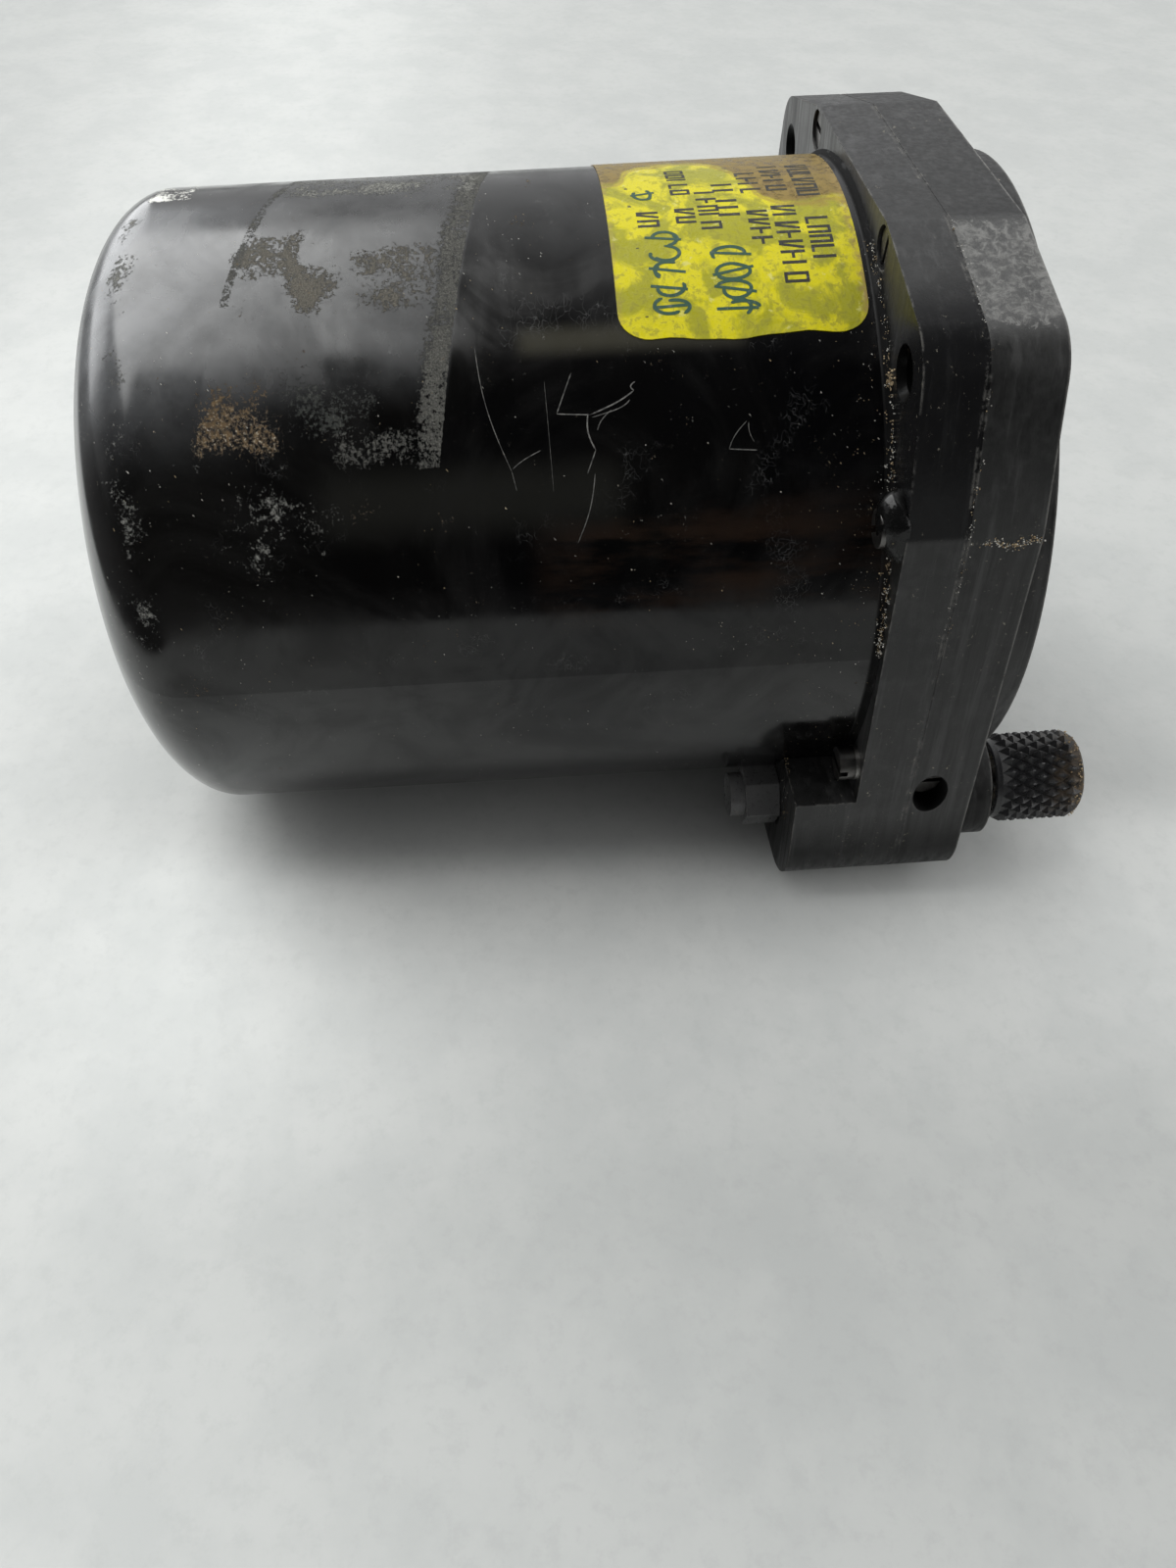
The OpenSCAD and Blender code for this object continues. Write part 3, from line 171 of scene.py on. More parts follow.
class Finish(Tree):
    """A material under construction."""

    def __init__(self, name, base, rough, metal=0.0):
        self.material = bpy.data.materials.new(name)
        super().__init__(self.material)
        self.shader = self.tree.nodes["Principled BSDF"]
        self.give(Base_Color=base, Roughness=rough, Metallic=metal, IOR=1.5)
        self.object_at = self.value("ShaderNodeTexCoord", {}, "Object")

    def give(self, **sockets):
        for key, value in sockets.items():
            self.set(self.shader, key.replace("_", " "), value)
        return self.material

    def mapped(self, at=None, **how):
        return self.value("ShaderNodeMapping", {"Vector": at or self.object_at, **how})

    def skin(self):
        """Place on the barrel's skin, unrolled, in mm around and mm along."""
        return self.mapped(self.value("ShaderNodeUVMap", {}), Scale=(100 * DEGREE, 100.0, 1.0))

    def noise(self, scale, detail=4.0, rough=0.55, at=None, warp=0.0):
        return self.value("ShaderNodeTexNoise", {
            "Vector": at or self.object_at, "Scale": scale, "Detail": detail, "Roughness": rough,
            "Distortion": warp})

    def cells(self, scale, at=None):
        """Distance to the nearest speck, and three chance numbers of that speck."""
        made = self.node("ShaderNodeTexVoronoi", {"Vector": at or self.object_at, "Scale": scale})
        return Value(self, made.outputs["Distance"]), self.parts(made.outputs["Color"])

    def between(self, value, low, high, to_low=0.0, to_high=1.0):
        """The value taken smoothly from low..high to to_low..to_high, and held outside."""
        return self.value("ShaderNodeMapRange", {
            "Value": value, "From Min": low, "From Max": high, "To Min": to_low, "To Max": to_high},
            interpolation_type="SMOOTHSTEP")

    def clouds(self, low, high, *shape, at=None, warp=0.0, to=(0.0, 1.0)):
        """Noise of a given scale, detail and roughness, taken from low..high to 0..1."""
        return self.between(self.noise(*shape, at=at, warp=warp), low, high, *to)

    def blend(self, share, a, b):
        return self.value("ShaderNodeMix", {0: share, 6: a, 7: b}, 2, data_type="RGBA")

    def vary(self, share, a, b):
        return self.value("ShaderNodeMix", {0: share, 2: a, 3: b}, data_type="FLOAT")

    def coats(self, base, *coats):
        """A colour under several others, each with the share in which it covers."""
        for share, colour in coats:
            base = self.blend(share, base, colour)
        return base

    def bump(self, height, distance, strength=1.0, over=None):
        inputs = {"Height": height, "Distance": distance, "Strength": strength}
        if over:
            inputs["Normal"] = over
        return self.value("ShaderNodeBump", inputs)

    def edge_mask(self, radius):
        """1 on the sharp outer and inner edges of a piece and 0 on its faces."""
        rounded = self.value("ShaderNodeBevel", {"Radius": radius}, samples=6)
        plain = self.value("ShaderNodeNewGeometry", {}, "Normal")
        return self.between(1.0 - self.vector("DOT_PRODUCT", {0: rounded, 1: plain}, "Value"), 0.02, 0.14)


# Mesh helpers


def linked(name, data):
    """A new object of some data, in the scene."""
    made = bpy.data.objects.new(name, data)
    scene.collection.objects.link(made)
    return made


def made_object(name, bm, edge=30.0):
    """A mesh object in metres from a bmesh in millimetres, smooth apart from edges sharper than edge."""
    bmesh.ops.recalc_face_normals(bm, faces=bm.faces)
    shut = not any(side.is_boundary for side in bm.edges)
    if shut and bm.calc_volume(signed=True) < 0:
        bmesh.ops.reverse_faces(bm, faces=bm.faces)
    bmesh.ops.scale(bm, vec=(MM, MM, MM), verts=bm.verts)
    mesh = bpy.data.meshes.new(name)
    bm.to_mesh(mesh)
    bm.free()
    mesh.shade_smooth()
    mesh.set_sharp_from_angle(angle=math.radians(edge))
    return linked(name, mesh)


def corners(result):
    """The vertices among what an operator gives back."""
    return [part for part in result["geom"] if isinstance(part, bmesh.types.BMVert)]


def sliced(bm, place, normal, **how):
    """Cuts across everything in a bmesh."""
    return bmesh.ops.bisect_plane(bm, geom=bm.verts[:] + bm.edges[:] + bm.faces[:], plane_co=place,
                                  plane_no=normal, **how)


def turned(degrees, axis):
    return Matrix.Rotation(math.radians(degrees), 4, axis)


def finished(made, material, body, replaced=()):
    """Gives a piece its material and body, and says which CAD nodes it stands for."""
    made.data.materials.clear()
    made.data.materials.append(material)
    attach(made, body)
    if replaced:
        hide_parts(*replaced)
    return made


def evaluated(made):
    graph = bpy.context.evaluated_depsgraph_get()
    return bpy.data.meshes.new_from_object(made.evaluated_get(graph))


def settled(made):
    """Applies a piece's modifiers."""
    mesh = evaluated(made)
    made.modifiers.clear()
    made.data = mesh
    return made


def combined(made, tool, operation):
    """Joins or cuts a piece with another one, which is used up."""
    step = made.modifiers.new(operation, "BOOLEAN")
    step.operation = operation
    step.solver = "EXACT"
    step.use_self = True
    step.object = tool
    settled(made)
    bpy.data.objects.remove(tool)
    return made


def softened(made, width, steps=3, seam=None):
    """Small rounded edges on a machined or moulded piece, nearly sharp where it meets its neighbour."""
    bm = bmesh.new()
    bm.from_mesh(made.data)
    layers = bm.edges.layers.float
    weight = layers.get("bevel_weight_edge") or layers.new("bevel_weight_edge")
    for edge in bm.edges:
        corner = len(edge.link_faces) == 2 and edge.calc_face_angle(0) > math.radians(38)
        at_seam = seam is not None and all(abs(v.co.y - seam * MM) < 1e-5 for v in edge.verts)
        edge[weight] = (0.12 if at_seam else 1.0) if corner else 0.0
    bm.to_mesh(made.data)
    bm.free()
    edge = made.modifiers.new("edges", "BEVEL")
    edge.width = width * MM
    edge.segments = steps
    edge.limit_method = "WEIGHT"
    edge.miter_outer = "MITER_ARC"
    settled(made)
    made.data.shade_smooth()
    made.data.set_sharp_from_angle(angle=math.radians(50))
    even = made.modifiers.new("even", "WEIGHTED_NORMAL")
    even.keep_sharp = True
    return made


def lathe(bm, profile, steps, x=0.0, z=0.0, closed=True):
    """Turns an outline of (radius, station) pairs about an axis along Y."""
    ring = [bm.verts.new((x + r, y, z)) for r, y in profile]
    pairs = list(zip(ring, ring[1:] + ring[:1])) if closed else list(zip(ring, ring[1:]))
    edges = [bm.edges.new(pair) for pair in pairs]
    bmesh.ops.spin(bm, geom=ring + edges, cent=(x, 0, z), axis=(0, 1, 0), angle=math.tau,
                   steps=steps, use_merge=True)
    bmesh.ops.remove_doubles(bm, verts=bm.verts, dist=1e-5)


def cylinder(bm, r, y0, y1, x=0.0, z=0.0, r_back=None, steps=64):
    """A closed round bar along Y."""
    bmesh.ops.create_cone(bm, cap_ends=True, segments=steps, radius1=r, radius2=r_back or r, depth=y1 - y0,
                          matrix=Matrix.Translation((x, (y0 + y1) / 2, z)) @ turned(-90, "X"))


def holes(bm, spots, *size, **how):
    """The same round bar at several places."""
    for x, z in spots:
        cylinder(bm, *size, x, z, **how)


def flange_prism(bm, y0, y1, inset=0.0):
    """The flange's outline between two stations: flats, plain corners and the fuller knob corner."""
    half = FLAT - inset
    start = []
    for y in (y0, y1):
        for a in (-half, half):
            for b in (-FLAT_HALF, FLAT_HALF):
                start += [bm.verts.new((a, y, b)), bm.verts.new((b, y, a))]
        for (x, z), r in [(s, CORNER_R) for s in MOUNT_SPOTS] + [(KNOB_CORNER, KNOB_CORNER_R)]:
            place = Matrix.Translation((x, y, z)) @ turned(90, "X")
            start += bmesh.ops.create_circle(bm, segments=96, radius=r - inset, matrix=place)["verts"]
    hull = bmesh.ops.convex_hull(bm, input=start, use_existing_faces=False)
    loose = {v for v in hull["geom_interior"] + hull["geom_unused"] if isinstance(v, bmesh.types.BMVert)}
    bmesh.ops.delete(bm, geom=list(loose), context="VERTS")
    bmesh.ops.dissolve_limit(bm, angle_limit=math.radians(0.4), verts=bm.verts, edges=bm.edges)


def rolled(bm, lift):
    """Wraps a flat sheet, drawn as x = mm around and y = station, onto the barrel."""
    for v in bm.verts:
        v.co = at(barrel_radius(v.co.y) + lift + v.co.z, v.co.x / DEGREE, v.co.y)


# Finishes


def grey(level):
    return (level,) * 3


def black_moulding():
    """Glossy black moulded case with what an old tape left on it, dust, smudges and rubbed places."""
    f = Finish("black_moulding", (0.005, 0.005, 0.006), 0.13)
    mm = f.skin()
    around, along, _ = f.parts(mm)
    solid = f.mapped(Scale=grey(1000.0))
    coarse = f.noise(0.20, 3, 0.55, at=mm)
    flaky = f.noise(1.7, 9, 0.82, at=mm)
    grit = f.noise(5.2, 6, 0.8, at=mm)

    def patch(a0, a1, y0, y1, soft=1.0):
        """1 inside a patch of the skin, given in degrees and mm, with soft borders."""
        a0, a1 = a0 * DEGREE, a1 * DEGREE
        return (f.between(around, a0 - soft, a0 + soft) * f.between(around, a1 + soft, a1 - soft)
                * f.between(along, y0 - soft, y0 + soft) * f.between(along, y1 + soft, y1 - soft))

    def flakes(field, share, lumps=1.3, rough=1.5):
        """Ragged flakes that cover a share of a field."""
        return f.between(field * share - 0.5 + (coarse - 0.5) * lumps + (flaky - 0.5) * rough, 0.0, 0.05)

    # The borders of the old tape lean away from the flange towards the underside
    front_edge = along - around * (0.105 / DEGREE) - 48.065
    rear_edge = along - around * (0.150 / DEGREE) - 68.0
    film = patch(70, 131, 56, 88, 3.0) * f.between(front_edge, -0.3, 0.2) * f.between(rear_edge, 0.3, -0.2)
    strip = (patch(72, 143.6, 50, 70, 0.3) * f.between(front_edge, -0.12, 0.12)
             * f.between(front_edge, 4.6, 1.6))
    rear_line = (patch(70, 116, 76, 90, 0.8) * f.between(rear_edge, -1.1, -0.5)
                 * f.between(rear_edge, 0.45, 0.2))
    foot = patch(137, 143.2, 60, 74.5, 1.5) * f.between(front_edge, -0.1, 0.1)
    pale = f.most(flakes(strip, 0.62, 0.9, 2.4), flakes(foot, 0.47, 1.2, 2.6),
                  flakes(rear_line, 0.50, 0.9, 2.4))
    olive = f.most(flakes(patch(99, 111, 76.5, 84, 1.8), 0.50, 1.5, 2.2),
                   flakes(patch(106, 118, 72, 79, 1.8), 0.50, 1.5, 2.2),
                   flakes(patch(105, 118, 61, 72, 2.6), 0.50, 1.4, 2.4))
    gold = f.most(flakes(patch(128, 137, 80, 87.2, 3.2), 0.57, 1.5, 2.6),
                  flakes(patch(133, 141, 78, 88.6, 1.8), 0.46, 1.2, 2.8))
    slate = flakes(patch(128, 138.5, 69, 80, 2.2), 0.44, 1.2, 3.0)
    grains = f.clouds(0.545, 0.60, 3.3, 7, 0.8, at=mm)
    rubbed = f.most(flakes(patch(66, 88.5, 57, 80, 2.0), 0.48, 1.0, 2.2),
                    flakes(patch(88, 176, 94, 99, 2.6), 0.36, 1.0, 1.7),
                    flakes(patch(139, 158, 74, 90, 3.0), 0.36))
    chips = flakes(patch(70, 86, 90, 95.5, 1.0), 0.52, 1.2, 1.6)

    # Dust and chips: round and ragged specks of three sizes
    ragged = f.vector("ADD", {0: solid, 1: f.noise(5.5, 2, 0.5, at=solid) * 0.5})
    crowd = (f.most(f.between(along, 30.0, 16.0), f.between(along, 80.0, 98.0, 0.0, 0.75))
             + f.clouds(0.45, 0.65, 0.06, 3, 0.6, at=solid, to=(0.12, 0.9)))
    specks = []
    for pitch, size, share in ((0.8, 0.070, 0.95), (1.9, 0.034, 0.95), (3.9, 0.018, 1.10)):
        away, (chance, girth, tone) = f.cells(1 / pitch, ragged)
        specks.append((away < girth * size + size * 0.3) * (crowd * share + chance > 0.985))
    flecks = (f.clouds(0.646, 0.668, 1.25, 9, 0.82, at=solid)
              * f.clouds(0.46, 0.60, 0.075, 4, 0.62, at=solid))
    dust = f.most(*specks, flecks)

    # Hairline scratches, which lie in a few directions
    hairs = []
    for turn, seed in ((0.75, 3.0), (-0.5, 11.0), (1.2, 23.0), (0.15, 31.0)):
        place = f.mapped(solid, Rotation=(0.4 * turn, turn * 0.7, turn), Location=(seed, seed, 0.0),
                         Scale=(0.09, 0.5, 0.5))
        hairs.append(f.between(abs(f.noise(1.0, 2, 0.5, at=place) - 0.5), 0.0035, 0.0))
    hairs = f.most(*hairs) * f.clouds(0.56, 0.66, 0.13, 4, 0.6, at=solid)

    smudge = f.clouds(0.42, 0.66, 0.045, 6, 0.66, at=solid, warp=1.2)
    haze = film * f.clouds(0.32, 0.66, 0.16, 5, 0.62, at=mm, to=(0.45, 1.0))
    rear_haze = (f.between(along, 74.0, 97.0) * f.between(along, 105.6, 102.5)
                 * f.between(around, 83 * DEGREE, 92 * DEGREE) * f.between(around, 146 * DEGREE, 116 * DEGREE)
                 * f.clouds(0.30, 0.64, 0.14, 6, 0.64, at=solid, to=(0.5, 1.0)))
    streaky = f.mapped(mm, Scale=(2.4, 0.5, 1.0))
    band = patch(152, 168, 14, 52, 3.5) * f.clouds(0.40, 0.62, 0.12, 4, 0.6, at=streaky)
    speckled = f.between(grit, 0.38, 0.66)
    rusty = f.blend(f.between(flaky, 0.40, 0.60), (0.026, 0.019, 0.012), (0.125, 0.083, 0.042))
    lower = f.between(around, 131 * DEGREE, 138 * DEGREE, 0.35, 1.0)
    base = f.coats(
        f.blend(f.clouds(0.35, 0.7, 0.03, 4, at=solid), (0.0008, 0.0008, 0.0011), (0.0022, 0.0021, 0.0019)),
        (smudge * 0.03, (0.13, 0.127, 0.12)),
        (haze * 0.14, (0.17, 0.175, 0.18)),
        (rear_haze * 0.30, (0.33, 0.34, 0.355)),
        (hairs * 0.12, grey(0.40)),
        (band, (0.0125, 0.0075, 0.0050)),
        (patch(144, 153, 44, 76, 2.5) * 0.8, (0.0115, 0.0115, 0.0100)),
        (patch(122.5, 126.5, 30, 54, 1.2) * 0.75, (0.040, 0.038, 0.028)),
        (slate, f.blend(speckled, (0.010, 0.0115, 0.0112), (0.060, 0.064, 0.057))),
        (olive, f.blend(speckled, (0.055, 0.051, 0.042), (0.155, 0.145, 0.122))),
        (pale, f.blend(speckled, (0.030, 0.030, 0.027), (0.118, 0.116, 0.104))),
        (gold, f.blend(grains * lower, rusty, (0.50, 0.45, 0.36))),
        (f.most(pale, slate) * grains * 0.4, (0.22, 0.22, 0.20)),
        (rubbed, f.blend(speckled, (0.05, 0.05, 0.045), (0.29, 0.29, 0.265))),
        (chips, (0.70, 0.70, 0.66)),
        (dust, f.blend(f.between(tone, 0.5, 0.75), (0.52, 0.51, 0.47), (0.34, 0.27, 0.16))))

    crusted = f.most(pale, olive, gold, slate, rubbed, chips, dust)
    dull = f.most(crusted, f.between(along, 15.9, 15.4))
    rough = (f.clouds(0.3, 0.7, 0.05, 4, 0.6, at=f.mapped(solid, Scale=(1.0, 5.0, 1.0)), to=(0.07, 0.15))
             + smudge * 0.12 + haze * 0.14 + rear_haze * 0.13)
    gloss = (f.clouds(0.34, 0.60, 0.075, 7, 0.68, at=solid, warp=0.8, to=(0.44, 0.66))
             * f.between(around, 146 * DEGREE, 160 * DEGREE, 1.0, 0.72) + rear_haze * 0.22)
    ripple = f.bump(f.noise(26, 3), 0.0014, 0.05)
    lumps = f.bump(crusted * (grit + 0.4), 0.00016, 0.9, over=ripple)
    return f.give(Base_Color=base, Roughness=f.vary(dull, rough, 0.8),
                  Specular_IOR_Level=f.vary(dull, gloss, 0.15),
                  Normal=f.bump(hairs, 0.00001, -0.4, over=lumps))


def satin_plate(name, shade, rough, seam, scuffed=False):
    """Black flange plates with machining streaks, pale worn edges, dirt, and one facet scraped grey."""
    f = Finish(name, grey(shade), rough)
    x, y, z = f.parts(f.object_at)
    streak = f.noise(620, 5, 0.7, at=f.mapped(Scale=(0.4, 1.0, 0.05)))
    fine = f.noise(1300, 4, 0.6, at=f.mapped(Scale=(1.0, 1.0, 0.05)))
    cloud = f.noise(70, 6, 0.66)
    mottle = f.noise(330, 6, 0.7)
    edge = f.edge_mask(0.0005)
    ragged = f.noise(520, 6, 0.72)
    chips = edge * f.between(ragged, 0.46, 0.58)
    broken = f.between(abs(y - seam), 0.0013, 0.0004) * f.between(ragged, 0.63, 0.67)
    flecks = f.clouds(0.625, 0.665, 1300, 8, 0.78) * f.clouds(0.46, 0.60, 60, 4)
    # Painted dark reflection: a glossier zone on the rear flange's corner facet, whose colour is also painted
    # darker
    glossy_painted_dark = f.between(x, -0.0235, -0.0335) * f.between(z, 0.0170, 0.0179) * (0.0 if scuffed else 1.0)
    base = f.coats(
        f.blend(f.between(cloud, 0.36, 0.66), grey(shade * 0.72), (shade * 1.45, shade * 1.45, shade * 1.42)),
        (f.between(mottle, 0.45, 0.72) * 0.5, grey(shade * 2.6)),
        (f.between(streak, 0.50, 0.66) * 0.55, grey(shade * 3.6)),
        (glossy_painted_dark * 0.8, (0.0055, 0.0055, 0.006)),
        (chips * 0.55, (0.15, 0.145, 0.135)),
        (f.most(broken * 0.4, flecks * 0.8), (0.27, 0.25, 0.20)))
    rough_now = f.between(fine, 0.3, 0.7, -0.10, 0.10) + f.between(cloud, 0.35, 0.7, rough, rough + 0.13)
    rough_now = f.vary(glossy_painted_dark, rough_now, f.between(streak, 0.3, 0.7, 0.14, 0.30))
    worn = f.most(chips, broken, flecks)
    relief = fine * 0.25
    if scuffed:
        facet = (f.between(x, -0.0365, -0.0320) * f.between(x, -0.0165, -0.0185)
                 * f.between(z, 0.0330, 0.0362))
        crackle = f.noise(850, 9, 0.82, warp=0.5)
        scrape = f.between(facet * 0.62 - 0.5 + (f.noise(150, 5, 0.65) - 0.5) * 0.9 + (crackle - 0.5) * 2.2,
                           -0.02, 0.12)
        lip = edge * f.between(y, 0.0013, 0.0005) * f.between(mottle, 0.36, 0.52)
        # The hole in the side is drawn taller than it is cut
        from_side_hole = f.length(y - 0.0054, (z + 0.0213) * (1 / SIDE_HOLE_TALLER))
        # Painted shade: the inside of the side hole is painted near black
        side_hole_painted_dark = (from_side_hole < 0.00222) * (x < -0.0300)
        bared = f.blend(f.between(crackle, 0.40, 0.62), (0.050, 0.050, 0.049), (0.150, 0.149, 0.143))
        base = f.coats(
            base,
            (facet * 0.7, (0.060, 0.060, 0.059)),
            (scrape * 0.85, bared),
            (lip * 0.6, (0.20, 0.197, 0.185)),
            (side_hole_painted_dark, grey(0.001)))
        worn = f.most(worn, scrape, side_hole_painted_dark)
        relief = facet * crackle * 2.2 + relief
    # Painted shade: the inside of each mount hole is painted near black and given little shine
    from_hole = f.length(abs(x) - HOLE_AT * MM, abs(z) - HOLE_AT * MM)
    inside = from_hole < f.between(y, 0.0139, 0.0140, 0.00225, 0.0030)
    # Painted shade: below z -0.024 the plates are painted darker
    base = f.coats(base, (inside, grey(0.002)), (f.between(z, -0.024, -0.031, 0.0, 0.35), grey(0.003)))
    unlit = f.most(f.between(x, -0.0255, -0.0335) * f.between(z, 0.0270, 0.0330), glossy_painted_dark)
    # Painted shade: the shine also drops towards the lower part
    shine = f.vary(unlit, 0.5, 0.5 if scuffed else 0.13) * f.between(z, -0.031, -0.024, 0.38, 1.0)
    low = f.bump(relief, 0.00016, 0.5)
    return f.give(Base_Color=base, Roughness=f.vary(worn, rough_now, 0.8),
                  Specular_IOR_Level=f.vary(inside, shine, 0.05),
                  Normal=f.bump(f.noise(1700, 4, 0.7), 0.00003, 0.6, over=low))


def metal(name, tint, rough, grain=(1.0, 1.0, 1.0), dirt_share=0.35):
    """A bare metal with turning or rolling marks and dull places."""
    f = Finish(name, tint, rough, metal=1.0)
    cloud = f.noise(104, 4, 0.6)
    marks = f.noise(1300, 4, 0.6, at=f.mapped(Scale=grain))
    dull = f.most(f.between(cloud, 0.45, 0.72) * dirt_share, f.clouds(0.56, 0.70, 520, 6, 0.7) * dirt_share)
    lighter = tuple(min(1.0, c * 1.18) for c in tint)
    base = f.coats(tint, (f.between(marks, 0.3, 0.7), lighter), (dull, (0.02, 0.017, 0.012)))
    out = f.between(marks, 0.3, 0.7, -0.06, 0.08) + f.between(cloud, 0.3, 0.8, rough, rough + 0.2)
    return f.give(Base_Color=base, Roughness=out, Normal=f.bump(marks, 0.00003, 0.35))


def dull_black(name, shade, rough, lighter=1.8):
    """Rubber, paint or moulded black in places that are little worn."""
    f = Finish(name, grey(shade), rough)
    fine = f.noise(1500, 4, 0.65)
    base = f.coats(grey(shade * 0.8), (f.clouds(0.35, 0.7, 75, 5, 0.6), grey(shade * lighter)),
                   (f.clouds(0.62, 0.70, 500, 7, 0.7) * 0.4, (0.16, 0.15, 0.13)))
    return f.give(Base_Color=base, Roughness=f.between(fine, 0.3, 0.7, rough - 0.06, rough + 0.12),
                  Normal=f.bump(fine, 0.00005, 0.4))


def white_paint():
    """Aged white paint on the pointers."""
    f = Finish("pointer_white", (0.74, 0.72, 0.64), 0.45)
    base = f.blend(f.clouds(0.4, 0.75, 300, 5), (0.76, 0.74, 0.66), (0.62, 0.57, 0.44))
    return f.give(Base_Color=base, Normal=f.bump(f.noise(2600, 3), 0.00003, 0.3))


def clear_glass():
    """Cover glass with a faint bloom of dust."""
    f = Finish("cover_glass", grey(1.0), 0.0)
    base = f.blend(f.clouds(0.66, 0.72, 700, 6, 0.7), grey(1.0), (0.86, 0.86, 0.84))
    return f.give(Base_Color=base, Roughness=f.clouds(0.45, 0.8, 60, 5, 0.65, to=(0.015, 0.09)),
                  Transmission_Weight=1.0)


def label_paper():
    """Yellow service label with brown stains at its upper end and along its edges."""
    f = Finish("label_yellow", (0.78, 0.74, 0.02), 0.30)
    mm = f.skin()
    around, along, _ = f.parts(mm)
    fine = f.noise(0.9, 7, 0.72, at=mm, warp=0.4)
    wander = (f.noise(0.11, 4, 0.55, at=mm) - 0.5) * 16.0
    reach = f.between(along, 31.0, 23.5, 0.0, 19.0) + f.between(along, 38.5, 42.0, 0.0, 9.0) + (wander + 80.5)
    inside = reach * DEGREE - around
    brown = f.blend(f.between(fine, 0.35, 0.62), (0.080, 0.045, 0.012), (0.195, 0.128, 0.034))
    border = f.most(f.between(along, 17.6, 16.4), f.between(along, 42.6, 43.3, 0.0, 0.6))
    base = f.coats(
        (0.50, 0.445, 0.004),
        (f.clouds(0.44, 0.56, 0.16, 5, 0.6, at=mm, warp=0.8), (0.27, 0.26, 0.012)),
        (f.between(fine, 0.53, 0.58) * 0.55, (0.19, 0.18, 0.014)),
        (f.clouds(0.60, 0.65, 0.5, 6, 0.7, at=mm) * 0.6, (0.50, 0.48, 0.16)),
        (f.between(inside, -0.5, 2.2) * 0.93, brown),
        (f.between(abs(inside), 0.0, 0.9, 0.55, 0.0), (0.22, 0.13, 0.03)),
        (border * f.between(fine, 0.40, 0.60, 0.1, 0.85), (0.26, 0.18, 0.06)))
    crease = f.bump(f.noise(0.12, 4, 0.6, at=mm, warp=0.8), 0.0006, 0.4)
    return f.give(Base_Color=base, Roughness=f.between(fine, 0.3, 0.7, 0.20, 0.48), Specular_IOR_Level=0.3,
                  Normal=f.bump(fine, 0.00010, 0.5, over=crease))


def ink(name, tone):
    """Ink of the printed bars and the pen strokes, broken where the label is worn."""
    f = Finish(name, tone, 0.5)
    faded = tuple(c * 0.6 + 0.06 for c in tone)
    return f.give(Base_Color=f.blend(f.clouds(0.56, 0.68, 1500, 4, 0.7), tone, faded))


def crust(name, light, dark):
    """Dried dirt and sealant crumbs."""
    f = Finish(name, light, 0.85)
    return f.give(Base_Color=f.blend(f.clouds(0.35, 0.65, 1800, 5, 0.65), dark, light),
                  Normal=f.bump(f.noise(3200, 5, 0.7), 0.0001, 0.8))


def varnish(name, smooth, shine):
    """Black sealing varnish in the corner between barrel and flange."""
    f = Finish(name, grey(0.006), smooth)
    specks = f.noise(700, 8, 0.76)
    return f.give(Base_Color=f.blend(f.between(specks, 0.66, 0.70), grey(0.004), (0.22, 0.185, 0.12)),
                  Roughness=f.between(specks, 0.50, 0.68, smooth, 0.8), Specular_IOR_Level=shine,
                  Normal=f.bump(f.noise(260, 4, 0.6), 0.0005, 0.3))


def table_top():
    """Pale mottled paper on the table."""
    f = Finish("table_top", (0.74, 0.75, 0.74), 0.8)
    x, y, _ = f.parts(f.object_at)
    fibre = f.noise(420, 6, 0.72)
    away, (chance, _, _) = f.cells(90)
    crumbs = f.between(away, 0.05, 0.02) * f.between(chance, 0.985, 0.988)
    # Painted light and shade: the paper is painted paler towards the window's side, and darker far away and
    # towards the near side
    far = f.between(x, 0.0, 0.2) * f.between(y, 0.08, 0.22)
    tone = (f.between(y, 0.02, 0.15, 0.97, 1.30) * f.between(x, 0.08, 0.45, 1.0, 0.95)
            * f.between(x, -0.11, 0.0, 0.86, 1.0) * (1.0 - far * 0.3))
    # Deep shadow under the case, and light thrown back beside it
    thrown = (f.between(x, -0.090, -0.048) * f.between(x, -0.020, -0.034)
              * f.between(y, -0.08, -0.02) * f.between(y, 0.140, 0.080))
    under = (f.between(x, -0.0365, -0.027) * f.between(x, 0.050, 0.030)
             * f.between(y, -0.010, 0.015) * f.between(y, 0.108, 0.078))
    tone = tone * (thrown * 0.38 + 1.0) * (1.0 - under * 0.42)
    base = f.coats(
        (0.370, 0.380, 0.373),
        (f.clouds(0.36, 0.64, 60, 6, 0.66), (0.402, 0.410, 0.401)),
        (f.between(fibre, 0.48, 0.68) * 0.32, (0.324, 0.332, 0.327)),
        (crumbs * 0.7, (0.25, 0.22, 0.18)))
    # Painted shade in reflections: for mirror rays the paper is painted dark beyond a line near the picture's
    # edge, where the dim room begins
    painted_reflection_shade = f.most(f.between(y - x * 0.24 - 0.185, 0.0, 0.02), f.between(x, -0.23, -0.25))
    ray = f.node("ShaderNodeLightPath", {}).outputs
    # Far off it runs into the pale room behind it
    off = f.between(f.length(x, y), 0.50, 1.30)
    base = f.coats(f.vector("SCALE", {0: base, "Scale": tone}),
                   (painted_reflection_shade * ray["Is Glossy Ray"], grey(0.02)), (off, grey(0.0)))
    return f.give(Base_Color=base, Normal=f.bump(fibre, 0.0002, 0.15), Emission_Color=FAR_PALE,
                  Emission_Strength=off * ray["Is Camera Ray"])


